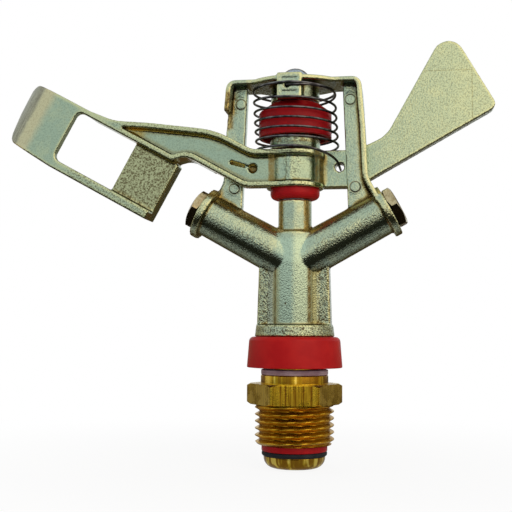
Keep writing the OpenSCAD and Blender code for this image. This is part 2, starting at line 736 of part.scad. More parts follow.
// Round inner corner of the window, at height v on the jet; turn is 1 above and -1 below
module window_corner(v, turn) {
    jet_frame() translate([window_end, v, 0]) scale([1, turn, 1]) slab(-arm_front, vane_t - arm_front)
        difference() {
            translate([-window_corner_r, -window_corner_r])
                square(window_corner_r + eps);
            translate([-window_corner_r, -window_corner_r]) circle(r = window_corner_r);
        }
}
window_corner_r = 1.8;
bar_foot_h = 0.8;
bar_len = 16.5;
module counterweight() {
    outline = rounded([
        [0, bar_foot_h, 0], [bar_len, bar_foot_h, 1], [paddle_reach, paddle_low_h, 2],
        [paddle_peak_x, paddle_peak_h, paddle_peak_r], [24.4, 14.6, 8],
        [bar_len, bar_h + bar_foot_h, 3], [0, bar_h + bar_foot_h, 0]]);
    difference() {
        translate([0, 0, hub_z]) rotate([90, 0, 0]) slab(-bar_y - bar_t, -bar_y) polygon(outline);
        translate([spring_hole_x, 0, hub_z + spring_hole_h]) rotate([-90, 0, 0])
            cylinder(h = past, d = spring_hole_d);
    }
}
// Round inner corners between the hub, the arm's web and the bar, drawn in plan
module hub_root() {
    reach = 0.7 * hub_d;
    translate([0, 0, hub_z + bar_foot_h]) linear_extrude(arm_h - bar_foot_h)
        offset(r = -hub_root_r) offset(r = hub_root_r) {
            circle(d = hub_d);
            translate([-reach, pocket_floor_y]) square([reach, arm_web_t]);
            translate([0, bar_y]) square([reach, bar_t]);
        }
}
module hammer_arm() {
    flange_h = arm_flange_w;
    color([0.66, 0.7, 0.52]) difference() {
        union() {
            bore(hub_z, hub_top_z, hub_d);
            bore(hub_z, hub_z + flange_h, hub_flange_d);
            bore(hub_z + arm_h - flange_h, hub_z + arm_h, hub_flange_d);
            hub_root();
            beam();
            window_frame();
            vane();
            window_corner(window_up, 1);
            window_corner(-window_down, -1);
            counterweight();
        }
        bore(hub_z - 1, hub_top_z + 1, sleeve_d + 2 * fit_gap);
    }
}

// Arm spring: from the hole in the anchor rib down the coil to the hole in the bar
arm_turns = coil_turns + 0.25;
function coil_z(t) = lookup(t, [[0, anchor_z], [1, plate_z - 1], [2, plate_z - 5],
    [coil_turns, hub_z + arm_h - 0.1], [arm_turns, hub_z + spring_hole_h]]);
function coil_point(t) = let (a = 270 + 360 * t, lean = coil_lean * (t / coil_turns - 0.4),
    leaving = max(0, (t - coil_turns) / (arm_turns - coil_turns)))
    [(arm_coil_d / 2 + spring_hole_out * leaving) * cos(a) + lean * (1 - leaving),
        (arm_coil_d / 2) * sin(a), coil_z(t)];
module arm_spring() {
    start = coil_point(0);
    last = arm_turns * spring_steps;
    color([0.2, 0.2, 0.22]) wire(concat(
        [[anchor_x - 0.6, start[1] + 3, anchor_z], [anchor_x - 0.6, start[1] + 0.6, anchor_z]],
        [for (i = [1 : last - 1]) coil_point(i / spring_steps)],
        [[spring_hole_x, bar_y - 0.6, hub_z + spring_hole_h],
            [spring_hole_x, bar_y + bar_t + 0.8, hub_z + spring_hole_h]]), arm_wire_d);
}

inlet_nipple();
top_washer();
bearing_stem();
stem_gasket();
seal_ring();
lower_washer();
bearing_spring();
spring_seat();
dust_cap();
head_casting();
nozzle_left();
nozzle_right();
fulcrum_pin();
riser_washer();
lower_bush();
pivot_sleeve();
hammer_arm();
bell_cap();
boss_washer();
arm_spring();
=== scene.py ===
# Two-nozzle impulse sprinkler: a brass inlet, a turning zinc head and a sprung hammer arm.
import json
import math

import bmesh
import bpy
import numpy as np
from mathutils import Matrix, Quaternion, Vector


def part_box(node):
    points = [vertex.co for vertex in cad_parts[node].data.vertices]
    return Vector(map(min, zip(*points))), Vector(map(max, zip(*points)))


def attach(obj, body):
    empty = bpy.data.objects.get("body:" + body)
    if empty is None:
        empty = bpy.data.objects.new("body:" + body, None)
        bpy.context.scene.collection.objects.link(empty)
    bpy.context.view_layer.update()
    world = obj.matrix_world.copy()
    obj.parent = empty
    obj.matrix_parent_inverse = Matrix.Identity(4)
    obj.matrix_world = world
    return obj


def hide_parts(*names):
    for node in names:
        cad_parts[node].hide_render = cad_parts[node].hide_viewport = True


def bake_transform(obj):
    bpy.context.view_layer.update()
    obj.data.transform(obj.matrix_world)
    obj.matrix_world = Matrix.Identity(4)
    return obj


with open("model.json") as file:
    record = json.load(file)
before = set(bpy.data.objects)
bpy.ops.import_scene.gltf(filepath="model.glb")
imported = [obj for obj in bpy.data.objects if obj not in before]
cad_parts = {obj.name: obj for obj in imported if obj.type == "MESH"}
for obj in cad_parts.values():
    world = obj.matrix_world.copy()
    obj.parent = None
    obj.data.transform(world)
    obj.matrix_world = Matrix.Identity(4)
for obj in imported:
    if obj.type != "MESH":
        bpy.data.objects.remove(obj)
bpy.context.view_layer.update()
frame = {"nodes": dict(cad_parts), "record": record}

# The inlet nipple is turned from a hexagon brass bar. Its half-inch pipe thread screws into the
# riser, the hexagon takes the spanner, and the collar on top carries the nylon washer.
MM = 0.001
NIPPLE_COLUMNS = 144
THREAD_PITCH = 25.4 / 14
THREAD_DEPTH = 1.16
THREAD_ROWS = 84
HEX_FLATS = 22.0
HEX_HEIGHT = 5.4
HEX_TURN = 6.5
HEX_BEVEL = 0.95
HEX_HALF = math.radians(30)
THREAD_RELIEF = 1.0
THREAD_LEAD = 0.8
NIPPLE_COLLAR = 17.9
RUNNING_FIT = 0.1
STEM_D = 10.8
NIPPLE_BORE = STEM_D + RUNNING_FIT
BRASS_DARK = (0.26, 0.12, 0.010, 1)
BRASS_MID = (0.52, 0.335, 0.012, 1)
BRASS_LIGHT = (0.76, 0.54, 0.045, 1)
BRASS_GLINT = (0.98, 0.76, 0.16, 1)
BRASS_SLANT_HIGHLIGHT = (0.86, 0.68, 0.20, 1)
BRASS_THREAD = (0.66, 0.34, 0.03, 1)


def put(sockets, values):
    """Gives each socket its value or its link. In a socket's name, an underscore stands for a space."""
    for key, value in values.items():
        socket = sockets[key.replace("_", " ") if isinstance(key, str) else key]
        if isinstance(value, bpy.types.NodeSocket):
            value.id_data.links.new(value, socket)
        else:
            socket.default_value = value


def add(tree, kind, inputs=None, **settings):
    """A new node in the tree, with its settings made and its inputs set or linked."""
    made = tree.nodes.new(kind)
    for name, value in settings.items():
        setattr(made, name, value)
    put(made.inputs, inputs or {})
    return made


def join(kind, inputs, **settings):
    """A new node in the tree of the sockets that it takes in."""
    tree = next(value.id_data for value in inputs.values() if isinstance(value, bpy.types.NodeSocket))
    return add(tree, kind, inputs, **settings)


def calc(operation, *values, clamp=False):
    return join("ShaderNodeMath", dict(enumerate(values)), operation=operation, use_clamp=clamp).outputs[0]


def fold(operation, values):
    """The values put together one after the other."""
    made = values[0]
    for value in values[1:]:
        made = calc(operation, made, value)
    return made


def times(*values):
    return fold("MULTIPLY", values)


def most(*values):
    return fold("MAXIMUM", values)


def vector_calc(operation, *values, scale=None):
    inputs = dict(enumerate(values))
    if scale is not None:
        inputs["Scale"] = scale
    made = join("ShaderNodeVectorMath", inputs, operation=operation)
    return made.outputs["Value" if operation in ("LENGTH", "DOT_PRODUCT") else "Vector"]


def split(vector):
    return join("ShaderNodeSeparateXYZ", {0: vector}).outputs


def point(x, y, z):
    return join("ShaderNodeCombineXYZ", {0: x, 1: y, 2: z}).outputs[0]


def remap(value, low, high, to_low=0.0, to_high=1.0, smooth=True):
    inputs = {"Value": value, "From Min": low, "From Max": high, "To Min": to_low, "To Max": to_high}
    return join("ShaderNodeMapRange", inputs,
                interpolation_type="SMOOTHSTEP" if smooth else "LINEAR").outputs["Result"]


def between(value, low, high, soft):
    """1 where the value lies between low and high, 0 outside."""
    return times(remap(value, low - soft, low + soft), remap(value, high + soft, high - soft))


def mix(factor, first, second):
    return join("ShaderNodeMix", {0: factor, 6: first, 7: second}, data_type="RGBA").outputs[2]


def paint(colour, tone, *masks):
    """The colour with the tone over it, as strong as the masks' product."""
    return mix(times(*masks), colour, tone)


def noise(vector, scale, detail=2.0, rough=0.5, distort=0.0):
    """Noise in cells of about 1 / scale, in the vector's own unit."""
    return join("ShaderNodeTexNoise", {"Vector": vector, "Scale": scale, "Detail": detail,
                "Roughness": rough, "Distortion": distort}).outputs[0]


def bump(height, strength, distance):
    return join("ShaderNodeBump", {"Height": height, "Strength": strength,
                "Distance": distance}).outputs["Normal"]


def millimetres(tree):
    """The place on the piece, in millimetres."""
    return vector_calc("SCALE", add(tree, "ShaderNodeTexCoord").outputs["Object"], scale=1 / MM)


def facing(tree):
    """The three parts of the direction that the surface faces."""
    return split(add(tree, "ShaderNodeTexCoord").outputs["Normal"])


def new_group(name, kind, inputs, outputs):
    """A group with named inputs, which are (kind, default), and named outputs, and its two ends."""
    group = bpy.data.node_groups.new(name, kind + "NodeTree")
    for label, (socket, default) in inputs.items():
        made = group.interface.new_socket(name=label, in_out="INPUT", socket_type="NodeSocket" + socket)
        if default is not None:
            made.default_value = default
    for label, socket in outputs.items():
        group.interface.new_socket(name=label, in_out="OUTPUT", socket_type="NodeSocket" + socket)
    return group, group.nodes.new("NodeGroupInput").outputs, group.nodes.new("NodeGroupOutput").inputs


def new_tree(name, inputs):
    """A geometry group that changes one piece."""
    return new_group(name, "Geometry", {"Geometry": ("Geometry", None), **inputs}, {"Geometry": "Geometry"})


def use(tree, group, **values):
    """Places a group in a material and gives back its outputs."""
    made = add(tree, "ShaderNodeGroup", node_tree=group)
    put(made.inputs, values)
    return made.outputs


def new_material(name):
    material = bpy.data.materials.new(name)
    material.use_nodes = True
    tree = material.node_tree
    return material, tree, tree.nodes["Principled BSDF"]


def rounded(points, steps=5):
    """A profile of (radius, height, rounding) points, with an arc at each point that has a rounding."""
    made = []
    for i, (x, z, r) in enumerate(points):
        here = np.array([x, z])
        if r == 0:
            made.append(here)
            continue
        before = np.array(points[i - 1][:2]) - here
        after = np.array(points[(i + 1) % len(points)][:2]) - here
        before, after = before / np.linalg.norm(before), after / np.linalg.norm(after)
        half = math.acos(float(np.clip(before @ after, -1, 1))) / 2
        middle = (before + after) / np.linalg.norm(before + after)
        centre = here + middle * r / math.sin(half)
        start, end = here + before * r / math.tan(half) - centre, here + after * r / math.tan(half) - centre
        a = math.atan2(start[1], start[0])
        sweep = (math.atan2(end[1], end[0]) - a + math.pi) % (2 * math.pi) - math.pi
        for k in range(steps + 1):
            turn = a + sweep * k / steps
            made.append(centre + r * np.array([math.cos(turn), math.sin(turn)]))
    return made


def turned(name, profile, columns=96, turn=0.0, frame_of=None):
    """A closed turned piece from rows of (radius, height) in millimetres.

    Each is one number, or one for each column."""
    angle = np.radians(turn) + np.linspace(0, 2 * math.pi, columns, endpoint=False)
    rows = []
    for r, z in profile:
        r, z = np.broadcast_to(r, columns), np.broadcast_to(z, columns)
        rows.append(np.stack([r * np.cos(angle), r * np.sin(angle), z], axis=1))
    points = np.concatenate(rows) * MM
    count = len(rows)
    faces = [(i * columns + j, i * columns + (j + 1) % columns,
              (i + 1) % count * columns + (j + 1) % columns, (i + 1) % count * columns + j)
             for i in range(count) for j in range(columns)]
    return solid(name, points, faces, frame_of)


def new_object(name, data):
    made = bpy.data.objects.new(name, data)
    bpy.context.scene.collection.objects.link(made)
    return made


def solid(name, points, faces, frame_of=None):
    """A mesh object with merged points, faces that point outwards and soft shading under 32 degrees."""
    mesh = bpy.data.meshes.new(name)
    mesh.from_pydata([tuple(p) for p in points], [], faces)
    if frame_of is not None:
        mesh.transform(frame_of)
    return tidied(new_object(name, mesh))


def tidied(piece, merge=0.002, sharp=32):
    cleaned = bmesh.new()
    cleaned.from_mesh(piece.data)
    bmesh.ops.remove_doubles(cleaned, verts=cleaned.verts, dist=merge * MM)
    bmesh.ops.dissolve_degenerate(cleaned, edges=cleaned.edges, dist=merge * MM / 4)
    bmesh.ops.recalc_face_normals(cleaned, faces=cleaned.faces)
    cleaned.to_mesh(piece.data)
    cleaned.free()
    piece.data.shade_smooth()
    piece.data.set_sharp_from_angle(angle=math.radians(sharp))
    return piece


def finish_with(piece, material):
    piece.data.materials.clear()
    piece.data.materials.append(material)


def stand_in(piece, node, body):
    """The piece shows instead of a CAD node and rides on its body."""
    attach(piece, body)
    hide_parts(node)


def grow(piece, tree, **values):
    """Gives a piece a tree as a modifier, with the tree's named inputs set."""
    modifier = piece.modifiers.new(tree.name, "NODES")
    modifier.node_group = tree
    sockets = {s.name: s.identifier for s in tree.interface.items_tree if s.in_out == "INPUT"}
    for name, value in values.items():
        modifier[sockets[name.replace("_", " ")]] = value
    return modifier


def settle(piece, sharp=None):
    """Turns a piece with its modifiers into a plain mesh."""
    bpy.context.view_layer.update()
    evaluated = piece.evaluated_get(bpy.context.evaluated_depsgraph_get())
    mesh = bpy.data.meshes.new_from_object(evaluated)
    made = new_object(piece.name, mesh)
    name = piece.name
    bpy.data.objects.remove(piece)
    made.name = name
    mesh.name = name
    made.data.shade_smooth()
    if sharp is not None:
        made.data.set_sharp_from_angle(angle=math.radians(sharp))
    return made


def hexagon(flats, columns, clip=0.05):
    """The radius of a hexagon bar at each column, with its corners worn by clip."""
    angle = np.linspace(0, 360, columns, endpoint=False) % 60 - 30
    return np.minimum(flats / 2 / np.cos(np.radians(angle)), flats / 2 / math.cos(HEX_HALF) - clip)


def thread_tree():
    """Cuts a helical thread into the outer wall of a turned piece."""
    tree, given, out = new_tree("cut_thread", {
        "Pitch": ("Float", 1.8), "Depth": ("Float", 1.1), "Outer Radius": ("Float", 10),
        "Start": ("Float", -10), "End": ("Float", 0), "Run Out": ("Float", 1)})
    here = add(tree, "GeometryNodeInputPosition").outputs[0]
    x, y, z = split(vector_calc("SCALE", here, scale=1 / MM))
    turn = calc("DIVIDE", calc("ARCTAN2", y, x), 2 * math.pi)
    phase = calc("FRACT", calc("SUBTRACT", calc("DIVIDE", z, given["Pitch"]), turn))
    flank = calc("ABSOLUTE", calc("SUBTRACT", phase, 0.5))
    cut = remap(flank, 0.05, 0.44, 1.0, 0.0, smooth=False)
    soft = calc("ADD", times(cut, 0.75), times(remap(flank, 0.02, 0.48, 1.0, 0.0), 0.25))
    radius = calc("SQRT", calc("ADD", calc("POWER", x, 2.0), calc("POWER", y, 2.0)))
    on_wall = calc("GREATER_THAN", radius, calc("SUBTRACT", given["Outer Radius"], 0.9))
    begins = calc("GREATER_THAN", z, given["Start"])
    ends = join("ShaderNodeMapRange", {"Value": z, "From Min": given["End"],
                "From Max": calc("SUBTRACT", given["End"], given["Run Out"])}).outputs["Result"]
    target = calc("SUBTRACT", given["Outer Radius"], times(given["Depth"], soft))
    depth = most(calc("SUBTRACT", radius, target), 0.0)
    amount = times(times(on_wall, begins), times(ends, depth))
    share = calc("SUBTRACT", 1.0, calc("DIVIDE", amount, radius))
    moved = vector_calc("MULTIPLY", here, point(share, share, 1.0))
    cut_mesh = join("GeometryNodeSetPosition", {"Geometry": given["Geometry"], "Position": moved})
    put(out, {0: cut_mesh.outputs[0]})
    return tree


nipple_low, nipple_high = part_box("inlet_nipple")
thread_radius = frame["record"]["mounts"][0]["dims"]["r_mm"]
thread_low = nipple_low.z / MM
nipple_top = nipple_high.z / MM
hex_radius = hexagon(HEX_FLATS, NIPPLE_COLUMNS)
hex_corner = HEX_FLATS / 2 / math.cos(HEX_HALF)
bevel_start = hex_corner - HEX_BEVEL
bevel_rise = np.maximum(hex_radius - bevel_start, 0) * math.tan(HEX_HALF)
nipple_profile = [(NIPPLE_BORE / 2, thread_low), (thread_radius - THREAD_RELIEF, thread_low)]
for row in range(THREAD_ROWS + 1):
    height = thread_low + 0.02 + (0 - thread_low - 0.3) * row / THREAD_ROWS
    lead = min(THREAD_LEAD, height - thread_low) - THREAD_LEAD
    nipple_profile.append((thread_radius + lead * 0.95, height))
nipple_profile += [(thread_radius - THREAD_RELIEF, -0.2), (thread_radius - THREAD_RELIEF, 0.0),
                   (np.minimum(hex_radius, bevel_start), 0.0), (hex_radius, bevel_rise)]
for row in range(1, 5):
    nipple_profile.append((hex_radius, bevel_rise + (HEX_HEIGHT - 2 * bevel_rise) * row / 5))
nipple_profile += [(hex_radius, HEX_HEIGHT - bevel_rise), (np.minimum(hex_radius, bevel_start), HEX_HEIGHT)]
nipple_profile += rounded([(NIPPLE_COLLAR / 2, HEX_HEIGHT, 0), (NIPPLE_COLLAR / 2, nipple_top, 0.35),
                           (NIPPLE_BORE / 2, nipple_top, 0)])
nipple = turned("threaded_inlet_nipple", nipple_profile, NIPPLE_COLUMNS, HEX_TURN)
grow(nipple, thread_tree(), Pitch=THREAD_PITCH, Depth=THREAD_DEPTH, Outer_Radius=thread_radius,
     Start=thread_low - 1, End=-0.1, Run_Out=0.6)
nipple = settle(nipple, sharp=34)


def tool_mark_group():
    """Marks of the lathe or the saw: fine lines along one direction and rings round another."""
    group, given, out = new_group("tool_marks", "Shader", {
        "Place": ("Vector", None), "Line Scale": ("Float", 3.0), "Ring Scale": ("Float", 4.0)},
        {"Lines": "Float", "Rings": "Float", "Clouds": "Float"})
    x, y, z = split(given["Place"])
    lines = noise(point(x, y, times(z, 0.03)), given["Line Scale"], 3.0, 0.6)
    rings = noise(point(0.0, 0.0, z), given["Ring Scale"], 3.0, 0.7)
    put(out, {"Lines": lines, "Rings": rings, "Clouds": noise(given["Place"], 0.35, 3.0, 0.55)})
    return group


tool_marks = tool_mark_group()


def brass_material(name, dark, mid, light, roughness, line_scale, ring_scale,
                   crest=None, flats=None, reflection_bands=None, underside_shade=0.0):
    """Machined brass: lines along the hexagon, rings on what was turned, painted shade in a thread's roots,
    painted reflections as dark and bright stripes down a turned face, a painted highlight on slanted
    hexagon faces, painted shade on what faces down."""
    material, tree, shader = new_material(name)
    place = millimetres(tree)
    x, y, z = split(place)
    normal = facing(tree)
    marks = use(tree, tool_marks, Place=place, Line_Scale=line_scale, Ring_Scale=ring_scale)
    cloud = remap(marks["Clouds"], 0.35, 0.65)
    colour = mix(remap(marks["Lines"], 0.38, 0.62), mid, light)
    colour = paint(colour, dark, cloud, 0.4)
    groove = times(marks["Lines"], 0.6)
    if underside_shade > 0:
        # What faces down is painted darker: painted shade.
        colour = paint(colour, dark, remap(normal[2], -0.05, -0.3), underside_shade)
    if reflection_bands is not None:
        low, high, scale = reflection_bands
        # Dark and bright stripes round a turned face: painted reflections.
        band_reflection = noise(point(x, y, 4.0), scale, 2.0, 0.6)
        on_band = between(z, low, high, 0.05)
        colour = paint(colour, dark, on_band, remap(band_reflection, 0.55, 0.47, 0.0, 0.85))
        colour = paint(colour, BRASS_GLINT, on_band, remap(band_reflection, 0.54, 0.6, 0.0, 0.8))
    if flats is not None:
        square = calc("ABSOLUTE", normal[1])
        on_bar = between(z, *flats, 0.1)
        # The hexagon's slanted faces are painted lighter: a painted highlight.
        colour = paint(colour, BRASS_SLANT_HIGHLIGHT, on_bar, remap(square, 0.8, 0.6, 0.0, 0.55))
        on_flat = times(on_bar, remap(square, 0.8, 0.95, 0.1, 1.0))
        colour = paint(colour, dark, on_flat, remap(marks["Lines"], 0.5, 0.42))
        groove = calc("ADD", groove, times(on_flat, times(marks["Lines"], 2.4)))
    if crest is not None:
        root, top = crest
        # The thread's roots are painted darker: painted shade.
        root_shade = remap(vector_calc("LENGTH", point(x, y, 0.0)), top, root)
        below = remap(z, 0.1, -0.1)
        colour = paint(colour, BRASS_THREAD, below, 0.55)
        colour = paint(colour, dark, root_shade, below, 0.45)
    height = calc("ADD", groove, times(marks["Rings"], 0.4))
    put(shader.inputs, {"Base Color": colour, "Metallic": 1.0, "Normal": bump(height, 0.22, 0.00012),
                        "Roughness": remap(cloud, 0.0, 1.0, roughness - 0.06, roughness + 0.08)})
    return material


finish_with(nipple, brass_material("nipple_brass", BRASS_DARK, BRASS_MID, BRASS_LIGHT, roughness=0.27,
                                   line_scale=1.6, ring_scale=3.0,
                                   crest=(thread_radius - THREAD_DEPTH, thread_radius),
                                   flats=(0.1, HEX_HEIGHT - 0.1),
                                   reflection_bands=(HEX_HEIGHT + 0.2, nipple_top, 0.34)))
stand_in(nipple, "inlet_nipple", "inlet")

# The bearing stem is a turned brass tube. Its flanged foot hangs under the nipple, its bore brings
# the water up, and its upper end is screwed into the head casting.
STEM_BORE = 7.4
STEM_THREAD_D = 9.8
STEM_THREAD_LEN = 11.0
FOOT_HEIGHT = 3.15
FOOT_ROUND = 2.8
FOOT_BRASS = (0.46, 0.27, 0.03, 1)
stem_low, stem_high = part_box("bearing_stem")
foot_radius = stem_high.x / MM
foot_low, stem_top = stem_low.z / MM, stem_high.z / MM
stem_profile = rounded([
    (STEM_BORE / 2, foot_low, 0.3), (foot_radius, foot_low, FOOT_ROUND),
    (foot_radius, foot_low + FOOT_HEIGHT, 0.12), (STEM_D / 2, foot_low + FOOT_HEIGHT, 0),
    (STEM_D / 2, stem_top - STEM_THREAD_LEN, 0), (STEM_THREAD_D / 2, stem_top - STEM_THREAD_LEN, 0),
    (STEM_THREAD_D / 2, stem_top, 0.3), (STEM_BORE / 2, stem_top, 0.3)], steps=7)
stem = turned("flanged_bearing_stem", stem_profile, 96)
finish_with(stem, brass_material("stem_brass", BRASS_DARK, FOOT_BRASS, BRASS_LIGHT, roughness=0.16,
                                 line_scale=0.9, ring_scale=5.0,
                                 reflection_bands=(foot_low, foot_low + FOOT_HEIGHT, 0.5)))
stand_in(stem, "bearing_stem", "head")

# The washers turn with either side of the bearing: a rubber ring and a red plastic washer under the
# nipple, a nylon washer on its collar, and a rubber gasket up in the socket of the casting.
WASHER_BORE = STEM_D + RUNNING_FIT
# The nylon is painted a darker mauve than white nylon: painted shade and a painted reflection of the red
# parts.
NYLON_SHADED_TONES = (0.36, 0.22, 0.27, 1), (0.53, 0.38, 0.43, 1)
RUBBER_TONES = (0.012, 0.014, 0.018, 1), (0.028, 0.031, 0.036, 1)
RED_TONES = (0.36, 0.006, 0.009, 1), (0.46, 0.010, 0.012, 1)


def plastic_material(name, colour, worn, roughness, grain=0.35):
    """Moulded plastic: faint clouds of colour, a fine matt grain and hair scratches."""
    material, tree, shader = new_material(name)
    place = millimetres(tree)
    cloud = noise(place, 0.22, 3.0, 0.6)
    fine = noise(place, 9.0, 2.0, 0.6)
    hair = noise(vector_calc("MULTIPLY", place, (0.25, 0.25, 2.4)), 2.2, 4.0, 0.7)
    shade = mix(remap(cloud, 0.35, 0.7), colour, worn)
    shade = paint(shade, worn, remap(hair, 0.66, 0.74), 0.25)
    matt = calc("ADD", times(fine, 0.5), times(cloud, 0.5))
    put(shader.inputs, {"Base Color": shade, "Specular IOR Level": 0.12,
                        "Roughness": remap(matt, 0.3, 0.7, roughness - 0.06, roughness + 0.08),
                        "Normal": bump(fine, grain, 0.00004)})
    return material


def washer(name, node, bore, edge, material, body, columns=96):
    low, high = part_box(node)
    radius, z0, z1 = (high.x - low.x) / 2 / MM, low.z / MM, high.z / MM
    profile = [(bore / 2, z0, 0), (radius, z0, edge), (radius, z1, edge), (bore / 2, z1, 0)]
    made = turned(name, rounded(profile), columns)
    finish_with(made, material)
    stand_in(made, node, body)


nylon = plastic_material("nylon", *NYLON_SHADED_TONES, roughness=0.42)
rubber = plastic_material("rubber", *RUBBER_TONES, roughness=0.55, grain=0.6)
red_plastic = plastic_material("red_plastic", *RED_TONES, roughness=0.36)
washer("rubber_seal_ring", "seal_ring", WASHER_BORE, 0.55, rubber, "head")
washer("red_running_washer", "lower_washer", WASHER_BORE, 0.15, red_plastic, "head")
washer("nylon_collar_washer", "top_washer", WASHER_BORE, 0.3, nylon, "inlet")
washer("socket_gasket", "stem_gasket", WASHER_BORE, 0.2, rubber, "head", 64)

# The bearing spring presses the head down on the nipple through a steel seat. It is a few turns of
# thick round wire, and the dust cap hides it.
BEARING_WIRE = 1.4
BEARING_TURNS = 3.5
COIL_STEPS = 48
SPRING_TONES = (0.05, 0.05, 0.055, 1), (0.20, 0.20, 0.21, 1)
# The washers' steel is painted dark: painted shade where they sit between parts.
WASHER_SHADED_TONES = (0.10, 0.105, 0.12, 1), (0.22, 0.225, 0.24, 1)


def finished(geometry, finish):
    """The geometry made real, with its material."""
    real = join("GeometryNodeRealizeInstances", {0: geometry}).outputs[0]
    return join("GeometryNodeSetMaterial", {"Geometry": real, "Material": finish}).outputs[0]


def sweep_tree():
    """Sweeps a round wire along a path."""
    tree, given, out = new_tree("round_wire", {
        "Wire Radius": ("Float", 0.0003), "Sides": ("Int", 12), "Finish": ("Material", None)})
    section = join("GeometryNodeCurvePrimitiveCircle", {"Resolution": given["Sides"],
                   "Radius": given["Wire Radius"]}).outputs[0]
    tube = join("GeometryNodeCurveToMesh", {"Curve": given["Geometry"], "Profile Curve": section,
                "Fill Caps": True}).outputs[0]
    put(out, {0: finished(tube, given["Finish"])})
    return tree


wire_sweep = sweep_tree()


def wound(name, points, wire, material, sides=14):
    """A wire of that diameter through the points, all in millimetres."""
    path = bpy.data.curves.new(name, "CURVE")
    path.dimensions = "3D"
    spline = path.splines.new("POLY")
    spline.points.add(len(points) - 1)
    for knot, p in zip(spline.points, points):
        knot.co = (*(Vector(p) * MM), 1)
    made = new_object(name, path)
    grow(made, wire_sweep, Wire_Radius=wire / 2 * MM, Sides=sides, Finish=material)
    return tidied(settle(made), merge=0.0005, sharp=50)


def steel_material(name, dark, light, roughness):
    """Drawn or stamped steel with faint draw lines and a few dull patches."""
    material, tree, shader = new_material(name)
    place = millimetres(tree)
    cloud = remap(noise(place, 0.5, 3.0, 0.6), 0.35, 0.65)
    drawn = noise(place, 6.0, 3.0, 0.6)
    put(shader.inputs, {"Base Color": mix(cloud, dark, light), "Metallic": 1.0,
                        "Roughness": remap(drawn, 0.3, 0.7, roughness - 0.05, roughness + 0.1),
                        "Normal": bump(drawn, 0.15, 0.00005)})
    return material


spring_steel = steel_material("spring_steel", *SPRING_TONES, roughness=0.28)
bright_steel = steel_material("bright_steel", *WASHER_SHADED_TONES, roughness=0.3)
coil_low, coil_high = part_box("bearing_spring")
bearing_radius = (coil_high.x - coil_low.x) / 2 / MM - BEARING_WIRE / 2
bearing_foot = coil_low.z / MM + BEARING_WIRE / 2
bearing_rise = (coil_high.z - coil_low.z) / MM - BEARING_WIRE
bearing_points = []
for step in range(int(BEARING_TURNS * COIL_STEPS) + 1):
    share = step / (BEARING_TURNS * COIL_STEPS)
    turn = 2 * math.pi * step / COIL_STEPS
    height = bearing_foot + bearing_rise * min(1, max(0, (share - 0.06) / 0.88))
    bearing_points.append((bearing_radius * math.cos(turn), bearing_radius * math.sin(turn), height))
bearing_coil = wound("bearing_coil", bearing_points, BEARING_WIRE, spring_steel, 16)
stand_in(bearing_coil, "bearing_spring", "head")
washer("steel_spring_seat", "spring_seat", WASHER_BORE, 0.1, bright_steel, "head", 64)

# The dust cap is a cup of red plastic that hangs from the casting over the bearing spring. It is
# moulded, with a round shoulder and a slight draft towards its open rim.
CAP_TOP_D = 24.0
CAP_WALL = 1.4
CAP_ROUND = 1.3
CAP_BORE = STEM_D + RUNNING_FIT
CAP_TONES = (0.42, 0.006, 0.008, 1), (0.48, 0.010, 0.010, 1)
cap_low, cap_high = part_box("dust_cap")
cap_rim, cap_z0, cap_z1 = cap_high.x / MM, cap_low.z / MM, cap_high.z / MM
cap_profile = rounded([
    (CAP_BORE / 2, cap_z1 - CAP_WALL, 0), (CAP_TOP_D / 2 - CAP_WALL - 0.3, cap_z1 - CAP_WALL, 0.5),
    (cap_rim - CAP_WALL, cap_z0, 0.15), (cap_rim, cap_z0, 0.25),
    (CAP_TOP_D / 2 + 0.08, cap_z1, CAP_ROUND), (CAP_BORE / 2, cap_z1, 0)], steps=8)
cap = turned("red_dust_cap", cap_profile, 128)
finish_with(cap, plastic_material("cap_plastic", *CAP_TONES, roughness=0.38))
stand_in(cap, "dust_cap", "head")

# The head is one zinc die casting: socket, column, two barrels, riser and bridge. It came out of the
# die with round edges and a sandy skin, and was dipped in yellow chromate, which stays in corners. Its
# colour also holds painted shade in corners and pits and painted highlights on what stands out.
HEAD_VOXEL = 0.28
SKIN_STEPS = 1
HOLLOW_STEPS = 34
ZINC_PLAIN = (0.385, 0.49, 0.375, 1)
ZINC_CREAM = (0.60, 0.63, 0.37, 1)
ZINC_GOLD = (0.31, 0.235, 0.05, 1)
ZINC_BROWN = (0.075, 0.045, 0.012, 1)
GOLD_STAIN_AND_REFLECTION = (0.44, 0.31, 0.075, 1)
POST_GREEN = (0.32, 0.44, 0.35, 1)
COLUMN_FRONT_REFLECTION = (0.45, 0.585, 0.445, 1)
COLUMN_LEFT_REFLECTION = (0.44, 0.50, 0.37, 1)
COLUMN_RIGHT_REFLECTION = (0.36, 0.35, 0.15, 1)
FILLET_SHADE_BROWN = (0.20, 0.16, 0.055, 1)
BARREL_TOP_REFLECTION = (0.52, 0.39, 0.09, 1)
PADS = [(-14.76, 80.7), (15.0, 81.24), (16.27, 57.55), (-16.36, 57.58)]
PAD_RADIUS = 1.6
PAD_RIM = 0.34


